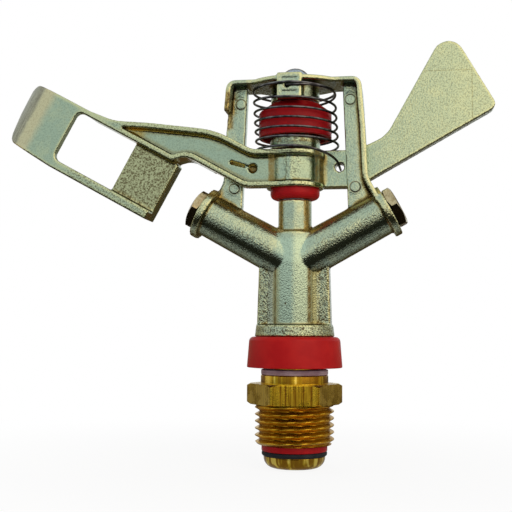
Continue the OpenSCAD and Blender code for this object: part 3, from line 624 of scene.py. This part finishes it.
def skin_tree():
    """Softens a cast skin and stores how deep each place lies in a corner, or how far it stands out."""
    tree, given, out = new_tree("cast_skin", {
        "Skin Steps": ("Int", 2), "Hollow Steps": ("Int", 30), "Finish": ("Material", None)})
    here = add(tree, "GeometryNodeInputPosition").outputs[0]

    def blurred(steps):
        made = add(tree, "GeometryNodeBlurAttribute", {"Iterations": steps}, data_type="FLOAT_VECTOR")
        vector_in = [s for s in made.inputs if s.type == "VECTOR"][0]
        tree.links.new(here, vector_in)
        return [s for s in made.outputs if s.type == "VECTOR" and s.enabled][0]

    soft = join("GeometryNodeSetPosition", {"Geometry": given["Geometry"],
                "Position": blurred(given["Skin Steps"])}).outputs[0]
    away = vector_calc("SUBTRACT", blurred(given["Hollow Steps"]), here)
    normal = add(tree, "GeometryNodeInputNormal").outputs[0]
    depth = calc("DIVIDE", vector_calc("DOT_PRODUCT", away, normal), MM)
    stored = join("GeometryNodeStoreNamedAttribute", {"Geometry": soft, "Name": "corner_depth",
                  "Value": depth}, data_type="FLOAT", domain="POINT").outputs[0]
    put(out, {0: finished(stored, given["Finish"])})
    return tree


cast_skin = skin_tree()


def cast_copy(name, node, voxel, material):
    """A copy of a node's shape with the round edges of a casting."""
    made = tidied(new_object(name, frame["nodes"][node].data.copy()), merge=0.001)
    shell = made.modifiers.new("shell", "REMESH")
    shell.mode = "VOXEL"
    shell.voxel_size = voxel * MM
    shell.use_smooth_shade = True
    grow(made, cast_skin, Skin_Steps=SKIN_STEPS, Hollow_Steps=HOLLOW_STEPS, Finish=material)
    return settle(made)


def chromate_group():
    """Yellow chromate on zinc: green grey on flats, cream clouds, painted highlights in cream on what
    stands out, gold in corners that is pooled chromate and painted shade, and painted shade in brown in the
    deepest corners.
    """
    group, given, out = new_group("yellow_chromate", "Shader", {
        "Place": ("Vector", None), "Plain": ("Color", ZINC_PLAIN), "Cream": ("Color", ZINC_CREAM),
        "Gold": ("Color", ZINC_GOLD), "Brown": ("Color", ZINC_BROWN),
        "Depth": ("Float", 0.0), "Patchiness": ("Float", 1.0)}, {"Color": "Color", "StainAndShade": "Float"})
    clouds = noise(given["Place"], 0.22, 3.0, 0.6, 0.6)
    patches = noise(given["Place"], 0.9, 4.0, 0.65)
    wander = times(calc("SUBTRACT", patches, 0.5), 0.3, given["Patchiness"])
    deep = calc("ADD", given["Depth"], wander)
    cloudy = times(remap(clouds, 0.42, 0.7), given["Patchiness"], 0.6)
    # Cream on what stands out is a painted highlight; the cloudy patches are the chromate's own tone.
    cream = calc("MAXIMUM", remap(times(deep, -1.0), 0.08, 0.36), cloudy, clamp=True)
    # Gold in corners is pooled chromate and painted shade; brown in the deepest corners is painted shade.
    stain_and_shade = times(remap(deep, 0.05, 0.28), 0.85)
    colour = mix(cream, given["Plain"], given["Cream"])
    colour = mix(stain_and_shade, colour, given["Gold"])
    colour = mix(remap(deep, 0.16, 0.4), colour, given["Brown"])
    put(out, {"Color": colour, "StainAndShade": stain_and_shade})
    return group


def cast_grain_group():
    """The sandy skin that a worn die leaves: fine bumps with small pits on a slow wave, and the masks for
    painted shade in the pits and painted highlights on the crests.
    """
    group, given, out = new_group("cast_grain", "Shader", {
        "Place": ("Vector", None), "Grain": ("Float", 2.2)},
        {"Height": "Float", "PitShade": "Float", "Sparkle": "Float"})
    place, grain = given["Place"], given["Grain"]
    cells = join("ShaderNodeTexVoronoi", {"Vector": place, "Scale": times(grain, 1.3)},
                 feature="SMOOTH_F1").outputs["Distance"]
    fine = noise(place, times(grain, 0.95), 2.0, 0.6)
    height = calc("ADD", times(noise(place, grain, 3.0, 0.6), 0.7), times(cells, 0.45))
    height = calc("SUBTRACT", height, times(fine, 0.5))
    height = calc("ADD", height, times(noise(place, 0.6, 2.0, 0.5), 0.3))
    put(out, {"Height": height, "PitShade": remap(fine, 0.49, 0.60), "Sparkle": remap(fine, 0.47, 0.38)})
    return group


chromate = chromate_group()
cast_grain = cast_grain_group()


def zinc_material(name, plain, cream, grain, depth, roughness, speckle, patchiness, local):
    """Chromated zinc casting. From local come a place's colour, relief, share of coarse skin and the share
    made less metallic, so that the painted colour there shows more.
    """
    material, tree, shader = new_material(name)
    place = millimetres(tree)
    corner = add(tree, "ShaderNodeAttribute", attribute_name="corner_depth").outputs["Fac"]
    tint = use(tree, chromate, Place=place, Plain=plain, Cream=cream, Gold=ZINC_GOLD, Brown=ZINC_BROWN,
               Depth=corner, Patchiness=patchiness)
    skin = use(tree, cast_grain, Place=place, Grain=grain)
    colour, relief, coarse, matt_share = local(tree, place, tint["Color"])
    # Dark specks in the grain's pits and cream specks on its crests: painted shade and painted highlights.
    speckle = calc("ADD", speckle, times(coarse, 0.72))
    colour = paint(colour, ZINC_BROWN, skin["PitShade"], speckle)
    colour = paint(colour, cream, skin["Sparkle"], speckle, 0.7)
    rough = calc("ADD", remap(skin["PitShade"], 0.0, 1.0, roughness - 0.02, roughness + 0.08),
                 times(calc("ADD", tint["StainAndShade"], coarse), 0.08))
    grainy = times(skin["Height"], calc("ADD", 1.0, times(coarse, 1.8)))
    put(shader.inputs, {"Base Color": colour, "Metallic": calc("SUBTRACT", 1.0, times(matt_share, 0.7)),
                        "Roughness": rough, "Normal": bump(calc("ADD", grainy, relief), depth, 0.0005)})
    return material


def disc(axes, x, z, radius, soft=0.12):
    """1 inside a circle in the front view, on the front of the piece."""
    across, up = calc("SUBTRACT", axes[0], x), calc("SUBTRACT", axes[2], z)
    away = calc("SQRT", calc("ADD", calc("POWER", across, 2.0), calc("POWER", up, 2.0)))
    return times(remap(away, radius + soft, radius - soft), remap(axes[1], -0.4, -0.8))


def head_local(tree, place, colour):
    """What dip, die and use left on the head, and painted light: gold and drips at the left post, a painted
    gold reflection on the riser's sides, painted gold reflections on the barrels' tops edged below by a
    line of painted shade, painted reflections down the column's front with painted shade in its fillets,
    the ejector pads' rims, a pit, and coarse skin on band and ribs."""
    axes = split(place)
    x, y, z = axes
    off_middle = calc("ABSOLUTE", x)
    upward = facing(tree)[2]
    wander = noise(place, 0.8, 3.0, 0.6)
    # Gold strips on the riser's sides are a painted reflection; the gold at the left post is staining.
    riser_side_reflection = between(calc("ADD", off_middle, times(wander, 0.6)), 3.1, 4.35, 0.3)
    riser_side_reflection = times(between(z, 45.2, 55.0, 0.4), riser_side_reflection, remap(y, 0.5, -0.5))
    flange = times(remap(x, -16.4, -17.6), between(z, 74.0, 83.5, 0.8))
    gold = most(riser_side_reflection, disc(axes, -21.2, 56.4, 1.7, 0.9), flange)
    gold = times(gold, remap(wander, 0.3, 0.5, 0.55, 0.95))
    colour = mix(gold, colour, GOLD_STAIN_AND_REFLECTION)
    posts = times(between(off_middle, 12.5, 16.4, 0.4), remap(z, 56.0, 58.0), remap(y, 0.0, -0.5))
    colour = paint(colour, POST_GREEN, posts, 0.55)
    drip = most(disc(axes, -16.9, 81.6, 1.3, 0.5), disc(axes, -15.9, 79.0, 0.6, 0.5), flange)
    colour = paint(colour, ZINC_BROWN, drip, remap(wander, 0.46, 0.54), 0.85)
    # Down the column's front: lighter green in the middle, grey at the left and olive at the right, all
    # painted reflections.
    column_front_reflection = times(between(z, 21.5, 44.0, 0.8), remap(y, -1.0, -3.0))
    colour = paint(colour, COLUMN_FRONT_REFLECTION, column_front_reflection, between(x, -4.2, 3.7, 0.4))
    low_column = times(between(z, 21.2, 36.0, 0.5), remap(y, 0.5, -0.5))
    column_left_reflection = times(low_column, remap(x, -4.7, -5.1))
    colour = paint(colour, COLUMN_LEFT_REFLECTION, column_left_reflection, between(x, -6.9, -4.9, 0.15))
    # Brown lines in the fillets between column and ribs: painted shade.
    fillet_shade = most(between(x, -4.9, -4.45, 0.15), between(x, 3.95, 4.75, 0.2))
    colour = paint(colour, FILLET_SHADE_BROWN, fillet_shade, remap(wander, 0.35, 0.6, 0.35, 0.9), low_column)
    colour = paint(colour, COLUMN_RIGHT_REFLECTION, low_column, between(x, 5.1, 6.2, 0.15), 0.7)
    on_barrels = between(z, 39.0, 57.0, 1.0)
    # The barrels' up-facing tops are painted gold, a painted reflection, edged below by a brown line of
    # painted shade.
    barrel_top_reflection = times(remap(upward, 0.52, 0.68), on_barrels, remap(wander, 0.3, 0.6, 0.7, 1.0))
    colour = mix(barrel_top_reflection, colour, BARREL_TOP_REFLECTION)
    barrel_shade_line = times(between(upward, 0.5, 0.6, 0.05), on_barrels, remap(wander, 0.4, 0.6, 0.1, 0.8))
    colour = paint(colour, ZINC_BROWN, barrel_shade_line, remap(off_middle, 5.0, 6.0))
    ring = 0.0
    for pad_x, pad_z in PADS:
        outer = disc(axes, pad_x, pad_z, PAD_RADIUS)
        ring = most(ring, calc("SUBTRACT", outer, disc(axes, pad_x, pad_z, PAD_RADIUS - PAD_RIM)))
    marks = most(times(ring, 0.75), disc(axes, -1.75, 26.39, 0.24, 0.08))
    colour = mix(marks, colour, ZINC_BROWN)
    rib = times(remap(off_middle, 6.0, 6.8), between(z, 17.8, 37.0, 0.3))
    coarse = times(most(rib, between(z, 17.8, 20.9, 0.1)), remap(wander, 0.3, 0.55, 0.5, 1.0))
    flank = times(between(z, 30.0, 53.0, 1.0), remap(off_middle, 5.2, 6.2),
                  remap(upward, 0.25, 0.0, 0.2, 0.6))
    matt_share = most(times(gold, 0.5), times(barrel_top_reflection, 0.25))
    return colour, times(marks, -1.5), most(coarse, flank), matt_share


casting_zinc = zinc_material("casting_zinc", ZINC_PLAIN, ZINC_CREAM, grain=2.6, depth=0.19, roughness=0.1,
                             speckle=0.2, patchiness=0.6, local=head_local)
head = cast_copy("cast_head", "head_casting", HEAD_VOXEL, casting_zinc)
stand_in(head, "head_casting", "head")

# Two brass nozzles are screwed into the ends of the barrels. Each is a hexagon with a round edge,
# a threaded shank and a conical bore, and the left one lets more water through.
NOZZLE_FLATS = 10.4
NOZZLE_HEX = 2.6
NOZZLE_TURN = 30.0
NOZZLE_EDGE = 1.1
NOZZLE_SHANK = 8.6
NOZZLE_SHANK_LEN = 8.0
BARREL_TILT = 28.6
BARREL_LEN = 26.9
END_COLLAR = 2.0
CROSSING_Z = 37.6
OUTLETS = {"left": (-1, 4.0), "right": (1, 3.2)}
NOZZLE_TONES = (0.15, 0.10, 0.055, 1), (0.48, 0.39, 0.21, 1), (0.66, 0.57, 0.34, 1)
nozzle_brass = brass_material("nozzle_brass", *NOZZLE_TONES, roughness=0.18, line_scale=2.4, ring_scale=4.0,
                              underside_shade=0.88)
for word, (side, outlet) in OUTLETS.items():
    face = BARREL_LEN + END_COLLAR
    tail, tip = face - NOZZLE_SHANK_LEN, face + NOZZLE_HEX
    radius = hexagon(NOZZLE_FLATS, 96, 0.08)
    corner = NOZZLE_FLATS / 2 / math.cos(HEX_HALF)
    chamfer = np.maximum(radius - (corner - NOZZLE_EDGE), 0) * 0.58
    worn = np.minimum(radius, corner - NOZZLE_EDGE)
    profile = [(NOZZLE_SHANK / 2 - 0.8, tail), (NOZZLE_SHANK / 2, tail + 0.3), (NOZZLE_SHANK / 2, face),
               (worn, face), (radius, face + chamfer), (radius, tip - chamfer), (worn, tip),
               (outlet / 2 + 0.7, tip), (outlet / 2, tip - 0.6), (outlet / 2, tip - 1.4)]
    barrel_frame = (Matrix.Translation((0, 0, CROSSING_Z * MM))
                    @ Matrix.Rotation(math.radians(side * (90 - BARREL_TILT)), 4, "Y"))
    nozzle = turned(f"hexagon_nozzle_{word}", profile, 96, NOZZLE_TURN, barrel_frame)
    finish_with(nozzle, nozzle_brass)
    stand_in(nozzle, f"nozzle_{word}", "head")

# The fulcrum pin is pressed into the riser and held by the bridge, where its domed head shows. The
# hammer turns on it, between two thin steel thrust washers.
PIN_D = 4.8
PIN_HEAD = 8.4
PIN_DOME = 4.0
PIN_BORE = PIN_D + RUNNING_FIT
PIN_TONES = (0.30, 0.35, 0.40, 1), (0.52, 0.58, 0.63, 1)
pin_low, pin_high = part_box("fulcrum_pin")
pin_z0, pin_z1 = pin_low.z / MM, pin_high.z / MM
plate_top = pin_z1 - PIN_DOME
pin_profile = [(0, pin_z0), *rounded([(PIN_D / 2, pin_z0, 0.3), (PIN_D / 2, plate_top, 0)])]
for step in range(13):
    turn = math.pi / 2 * step / 12
    pin_profile.append((PIN_HEAD / 2 * math.cos(turn), plate_top + PIN_DOME * math.sin(turn)))
pin = turned("domed_fulcrum_pin", pin_profile, 64)
finish_with(pin, steel_material("pin_steel", *PIN_TONES, roughness=0.22))
stand_in(pin, "fulcrum_pin", "head")
washer("thrust_washer_low", "riser_washer", PIN_BORE, 0.05, bright_steel, "head", 64)
washer("thrust_washer_high", "boss_washer", PIN_BORE, 0.05, bright_steel, "head", 64)

# The hammer runs on a nylon sleeve between a red bush below and a red bell above. Both are moulded
# and are pressed onto the hub, and the bell keeps grit and the spring off the sleeve.
BUSH_ROUND = 1.5
BELL_TOP_D = 13.0
BELL_WALL = 1.2
BELL_TOP_T = 1.6
BELL_TONES = (0.31, 0.005, 0.009, 1), (0.40, 0.008, 0.012, 1)
bush_low, bush_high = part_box("lower_bush")
bush_radius, bush_z0, bush_z1 = bush_high.x / MM, bush_low.z / MM, bush_high.z / MM
bush = turned("red_lower_bush", rounded([
    (PIN_BORE / 2, bush_z0, 0), (bush_radius, bush_z0, BUSH_ROUND), (bush_radius, bush_z1, 0.1),
    (PIN_BORE / 2, bush_z1, 0)], steps=8), 96)
finish_with(bush, red_plastic)
stand_in(bush, "lower_bush", "hammer")
bell_low, bell_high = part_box("bell_cap")
bell_radius, bell_z0, bell_z1 = bell_high.x / MM, bell_low.z / MM, bell_high.z / MM
shoulder = bell_radius - BELL_TOP_D / 2
bell = turned("red_bell_cap", rounded([
    (PIN_BORE / 2, bell_z1 - BELL_TOP_T, 0), (BELL_TOP_D / 2 + 0.35, bell_z1 - BELL_TOP_T, 0),
    (bell_radius - BELL_WALL, bell_z1 - shoulder - 0.9, 0.5), (bell_radius - BELL_WALL, bell_z0, 0.1),
    (bell_radius, bell_z0, 0.2), (bell_radius, bell_z1 - 0.75 * shoulder, 1.0),
    (BELL_TOP_D / 2, bell_z1, 0.9), (PIN_BORE / 2, bell_z1, 0)], steps=8), 128)
finish_with(bell, plastic_material("bell_plastic", *BELL_TONES, roughness=0.34))
stand_in(bell, "bell_cap", "hammer")
washer("nylon_pivot_sleeve", "pivot_sleeve", PIN_BORE, 0.2, nylon, "hammer", 64)

# The hammer arm is a second zinc casting: hub, arm with a pocket, splitter plate, window and curved
# vane on the jet's side, and a flat bar with its paddle as the counterweight.
ARM_VOXEL = 0.3
SPLITTER_START = 40.5
WINDOW_START = 54.1
WINDOW_END = 71.8
VANE_END = 89.6
ARM_PLAIN = (0.345, 0.455, 0.34, 1)
ARM_CREAM = (0.56, 0.61, 0.36, 1)
VANE_HIGHLIGHT_TAN = (0.62, 0.55, 0.33, 1)
TIP_SHADE_DARK = (0.20, 0.185, 0.135, 1)
TIP_SHADE_LIGHT = (0.34, 0.325, 0.24, 1)
SPLITTER_OLIVE = (0.355, 0.36, 0.19, 1)
POCKET_GREEN = (0.32, 0.43, 0.32, 1)
POCKET_SHADE_GOLD = (0.46, 0.36, 0.11, 1)
ROOF_REFLECTION_GOLD = (0.60, 0.41, 0.11, 1)
HUB_SHADE_GOLD = (0.30, 0.22, 0.05, 1)
HUB_PATCH = (0.34, 0.27, 0.08, 1)
WINDOW_WALL_SHADE = (0.30, 0.36, 0.25, 1)
PADDLE_PALE = (0.62, 0.68, 0.42, 1)
SCRIBED_LINE = (0.24, 0.22, 0.09, 1)


def arm_local(tree, place, colour):
    """What dip, die and water left on the arm, and painted light: a painted highlight in a tan band and
    painted shade with brushed streaks at the vane's tip, a coarse splitter plate with dimples, gold in the
    pocket as painted shade and painted reflection, painted shade on the hub's sides and patches on its top,
    painted shade on the window's end wall, and scribed lines and scratches on the paddle."""
    axes = split(place)
    x, y, z = axes
    normal = facing(tree)
    wander = noise(place, 0.7, 3.0, 0.6)
    tilt = math.radians(BARREL_TILT)
    up = calc("SUBTRACT", z, CROSSING_Z)
    along = calc("SUBTRACT", times(up, math.sin(tilt)), times(x, math.cos(tilt)))
    across = calc("ADD", times(up, math.cos(tilt)), times(x, math.sin(tilt)))
    worn_along = calc("ADD", along, times(calc("SUBTRACT", wander, 0.5), 1.2))
    # A tan band across the vane's curve is a painted highlight; the greyish tip with brush-like streaks is
    # painted shade.
    colour = paint(colour, VANE_HIGHLIGHT_TAN, between(worn_along, VANE_END - 9.6, VANE_END - 4.6, 1.6), 0.75)
    brushed = noise(point(times(along, 2.4), times(across, 0.25), 0.0), 1.0, 3.0, 0.6)
    tip_shade = mix(remap(brushed, 0.35, 0.65), TIP_SHADE_DARK, TIP_SHADE_LIGHT)
    colour = paint(colour, tip_shade, remap(worn_along, VANE_END - 6.2, VANE_END - 4.6), 0.9)
    plate = times(between(along, SPLITTER_START + 0.4, WINDOW_START, 0.3), between(across, -6.4, 8.0, 0.3),
                  remap(y, -3.4, -3.1))
    colour = paint(colour, SPLITTER_OLIVE, plate, 0.85)
    colour = paint(colour, POCKET_GREEN, between(y, -4.7, -4.1, 0.1), between(x, -46.0, -6.6, 0.3), 0.45)
    # Gold at the pocket's upper left end is painted shade, and gold on the underside of its upper flange is
    # a painted reflection.
    pocket_end_shade = times(disc(axes, -43.2, 73.3, 2.0, 1.6), remap(wander, 0.3, 0.5, 0.5, 0.9))
    colour = paint(colour, POCKET_SHADE_GOLD, pocket_end_shade, remap(y, -6.6, -5.9))
    roof_reflection = times(remap(normal[2], -0.25, -0.6), between(y, -6.7, -2.0, 0.2), remap(x, -8.0, -12.0),
                 remap(x, -49.0, -46.0))
    colour = paint(colour, ROOF_REFLECTION_GOLD, roof_reflection, remap(wander, 0.3, 0.5, 0.6, 0.95))
    # The hub's sides are painted dark gold: painted shade.
    hub_side_shade = calc("ADD", between(x, -6.7, -5.0, 0.2), between(x, 5.7, 7.5, 0.3))
    hub_side_shade = times(hub_side_shade, between(z, 58.6, 68.0, 0.3), between(y, -6.3, 1.5, 0.2),
                     remap(wander, 0.35, 0.6, 0.5, 1.0))
    colour = paint(colour, HUB_SHADE_GOLD, hub_side_shade, 0.9)
    # The window's end wall is painted darker green grey and made less metallic: painted shade.
    wall = times(between(along, WINDOW_END - 0.8, WINDOW_END + 0.6, 0.1), between(across, -6.9, 8.4, 0.1),
                 remap(calc("ABSOLUTE", normal[1]), 0.8, 0.6))
    colour = paint(colour, WINDOW_WALL_SHADE, wall, 0.8)
    hub_top = times(remap(z, 68.9, 69.6), between(x, -7.2, 7.2, 0.2))
    colour = paint(colour, HUB_PATCH, hub_top, remap(wander, 0.46, 0.56, 0.0, 0.6))
    far_out = remap(x, 18.0, 26.0)
    colour = paint(colour, PADDLE_PALE, far_out, 0.3)
    scribed = most(times(between(z, 89.1, 89.3, 0.12), between(x, 34.0, 47.3, 0.3)),
                   times(between(x, 47.1, 47.3, 0.12), between(z, 76.0, 89.3, 0.3)))
    colour = paint(colour, SCRIBED_LINE, scribed, remap(wander, 0.35, 0.55, 0.25, 0.6), remap(y, 3.0, 2.4))
    scratch = remap(noise(point(times(x, 0.12), 0.0, times(z, 2.2)), 1.0, 4.0, 0.7), 0.70, 0.76)
    dimples = most(disc(axes, -42.73, 67.32, 0.5, 0.35), disc(axes, -37.6, 65.4, 0.5, 0.35))
    relief = times(most(dimples, times(scratch, remap(x, 20.0, 26.0), 0.4)), -0.8)
    lower_rail = times(between(across, -9.6, -6.6, 0.2), between(along, 40.0, 66.0, 2.0), 0.7)
    rails = times(remap(y, -6.2, -6.6), between(x, -50.0, 9.0, 2.0), 0.45)
    coarse = most(times(plate, 0.8), lower_rail, rails, times(hub_top, 0.8), times(far_out, 0.2))
    return colour, relief, coarse, most(hub_side_shade, wall)


arm_zinc = zinc_material("arm_zinc", ARM_PLAIN, ARM_CREAM, grain=2.4, depth=0.1, roughness=0.14,
                         speckle=0.16, patchiness=0.55, local=arm_local)
arm = cast_copy("cast_hammer_arm", "hammer_arm", ARM_VOXEL, arm_zinc)
stand_in(arm, "hammer_arm", "hammer")

# The arm spring is thin dark wire wound left-handed round the bell. Its upper end is hooked in the rib of
# the bridge and its lower end in the bar. The real spring twists when the hammer swings out; here it is one
# fixed shape.
ARM_WIRE = 0.66
ARM_TURNS = 7
HOOK_OUT = 0.8
HOOK_HEIGHT = 6.3
COIL_HEIGHTS = [83.5, 84.15, 80.2, 77.5, 74.9, 72.4, 69.8, 67.25]
COIL_LEAN = 1.1
COIL_RADIUS = 11.1
ANCHOR_X = -1.1
hook_x, hook_z = COIL_RADIUS + HOOK_OUT, bush_z1 + HOOK_HEIGHT
coil_points = [(ANCHOR_X, 3 - COIL_RADIUS, COIL_HEIGHTS[0]), (ANCHOR_X, 0.8 - COIL_RADIUS, COIL_HEIGHTS[0])]
for step in range(2, ARM_TURNS * COIL_STEPS + 1):
    turns = step / COIL_STEPS
    height = np.interp(turns, range(ARM_TURNS + 1), COIL_HEIGHTS)
    lean = COIL_LEAN * (turns / ARM_TURNS - 0.4)
    turn = -math.pi / 2 + 2 * math.pi * turns
    coil_points.append((COIL_RADIUS * math.cos(turn) + lean, COIL_RADIUS * math.sin(turn), height))
leave_steps = COIL_STEPS // 4
for step in range(1, leave_steps):
    share = step / leave_steps
    turn = -math.pi / 2 + math.pi / 2 * share
    radius = COIL_RADIUS + HOOK_OUT * share
    lean = COIL_LEAN * 0.6 * (1 - share)
    height = COIL_HEIGHTS[-1] + (hook_z - COIL_HEIGHTS[-1]) * share ** 1.5
    coil_points.append((radius * math.cos(turn) + lean, COIL_RADIUS * math.sin(turn), height))
coil_points += [(hook_x, 0.6, hook_z), (hook_x, 6.6, hook_z)]
arm_coil = wound("arm_coil", coil_points, ARM_WIRE, spring_steel, 12)
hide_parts("arm_spring")
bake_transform(arm_coil)

# The studio is a white floor under a white world, lit from the upper right and from above. A dark
# card in front, a cream one at the right and amber and brown flags at the sides show in the metal.
FLOOR_Z = foot_low * MM - 0.0002
FLOOR_SIZE = 8.0
LAMP_AIM = (0, 0, 0.045)
bpy.context.scene.view_settings.view_transform = "Standard"


def flat_card(name, width, depth, where, turn=(0, 0, 0)):
    w, d = width / 2, depth / 2
    mesh = bpy.data.meshes.new(name)
    mesh.from_pydata([(-w, -d, 0), (w, -d, 0), (w, d, 0), (-w, d, 0)], [], [(0, 1, 2, 3)])
    made = new_object(name, mesh)
    made.location = where
    made.rotation_euler = [math.radians(a) for a in turn]
    return made


floor = flat_card("floor", FLOOR_SIZE, FLOOR_SIZE, (0, 0, FLOOR_Z))
floor_material, floor_tree, floor_shader = new_material("floor")
put(floor_shader.inputs, {"Base Color": (0.8, 0.8, 0.8, 1), "Roughness": 0.9, "Specular IOR Level": 0.0})
ray = add(floor_tree, "ShaderNodeLightPath").outputs
away = vector_calc("LENGTH", add(floor_tree, "ShaderNodeTexCoord").outputs["Object"])
mirrored = most(ray["Is Glossy Ray"], ray["Is Transmission Ray"])
seen = most(times(ray["Is Camera Ray"], remap(away, 0.02, 0.16, 0.9, 1.0)), mirrored)
glow = join("ShaderNodeEmission", {"Color": (1, 1, 1, 1), "Strength": remap(mirrored, 0.0, 1.0, 1.0, 0.4)})
blended = join("ShaderNodeMixShader", {0: seen, 1: floor_shader.outputs[0], 2: glow.outputs[0]})
put(floor_tree.nodes["Material Output"].inputs, {"Surface": blended.outputs[0]})
finish_with(floor, floor_material)

# Each card has its size, place, turn and the light that the metal sees in it. No other ray meets them.
CARDS = {
    "low_card": (3.0, 0.482, (0.0, -0.259, FLOOR_Z + 0.001), (0, 0, 0), (0.025, 0.024, 0.018)),
    "rear_card": (3.0, 3.86, (0.0, 1.97, FLOOR_Z + 0.001), (0, 0, 0), (0.09, 0.065, 0.03)),
    "cream_card": (1.53, 1.5, (0.58, -0.68, 0.74), (90, 0, 40.5), (1.42, 1.24, 1.02)),
    "amber_left": (0.17, 0.24, (-0.45, 0.01, 0.07), (0, 90, 0), (0.55, 0.47, 0.34)),
    "amber_right": (0.17, 0.24, (0.45, 0.01, 0.07), (0, 90, 0), (0.62, 0.47, 0.28)),
    "left_flag": (0.17, 0.9, (-0.45, 0.58, 0.07), (0, 90, 0), (0.38, 0.32, 0.21)),
    "right_flag": (0.17, 0.9, (0.45, 0.58, 0.07), (0, 90, 0), (0.38, 0.32, 0.21)),
    "back_flag": (1.6, 1.0, (0.0, 1.0, 0.97), (90, 0, 0), (0.12, 0.08, 0.03)),
}
for name, (width, depth, where, turn, colour) in CARDS.items():
    card = flat_card(name, width, depth, where, turn)
    card_material, card_tree, _ = new_material(name)
    card_light = add(card_tree, "ShaderNodeEmission", {"Color": (*colour, 1), "Strength": 1.0})
    put(card_tree.nodes["Material Output"].inputs, {"Surface": card_light.outputs[0]})
    finish_with(card, card_material)
    card.visible_camera = False
    card.visible_diffuse = False
    card.visible_shadow = False

world = bpy.data.worlds.new("studio")
bpy.context.scene.world = world
world.use_nodes = True
sky = world.node_tree
background = sky.nodes["Background"]
background.inputs["Color"].default_value = (0.40, 0.42, 0.43, 1)
sky_ray = add(sky, "ShaderNodeLightPath").outputs
pale = add(sky, "ShaderNodeBackground", {"Color": (0.80, 0.83, 0.84, 1), "Strength": 1.0}).outputs[0]
white = add(sky, "ShaderNodeBackground", {"Color": (1, 1, 1, 1), "Strength": 1.0}).outputs[0]
shown = join("ShaderNodeMixShader", {0: sky_ray["Is Glossy Ray"], 1: background.outputs[0], 2: pale})
shown = join("ShaderNodeMixShader", {0: sky_ray["Is Camera Ray"], 1: shown.outputs[0], 2: white})
put(sky.nodes["World Output"].inputs, {"Surface": shown.outputs[0]})


def soft_lamp(name, where, size, power, colour):
    lamp = bpy.data.lights.new(name, "AREA")
    lamp.shape = "RECTANGLE"
    lamp.size, lamp.size_y = size
    lamp.energy = power
    lamp.color = colour
    made = new_object(name, lamp)
    made.location = where
    aim = Vector(LAMP_AIM) - made.location
    made.rotation_euler = aim.to_track_quat("-Z", "Y").to_euler()
    made.visible_glossy = False


soft_lamp("key_lamp", (0.30, -0.46, 0.38), (0.55, 0.60), 1.9, (1.0, 0.88, 0.70))
soft_lamp("top_lamp", (-0.05, 0.02, 0.6), (0.5, 0.4), 0.7, (1.0, 0.97, 0.92))

# The camera stands a quarter of a metre away, a little to the right and level with the band of the
# socket, and looks slightly up at the barrels. Distances here are in millimetres too.
CAMERA_DISTANCE = 250.0
CAMERA_SIDE = 6.5
CAMERA_HEIGHT = 19.5
CAMERA_TARGET = (-10.39, -1.18, 39.29)
FOCAL_PIXELS = 932.56
FRAME_PIXELS = 512
CAMERA_ROLL = 0.35
lens = bpy.data.cameras.new("camera")
lens.sensor_width = 36
lens.lens = FOCAL_PIXELS * lens.sensor_width / FRAME_PIXELS
lens.clip_start = 0.01
camera = new_object("camera", lens)
side = math.radians(CAMERA_SIDE)
camera.location = Vector((math.sin(side), -math.cos(side), 0)) * CAMERA_DISTANCE * MM
camera.location.z = CAMERA_HEIGHT * MM
aim = Vector(CAMERA_TARGET) * MM - camera.location
camera.rotation_mode = "QUATERNION"
camera.rotation_quaternion = (aim.to_track_quat("-Z", "Y")
                              @ Quaternion((0, 0, 1), math.radians(CAMERA_ROLL)))
bpy.context.scene.camera = camera
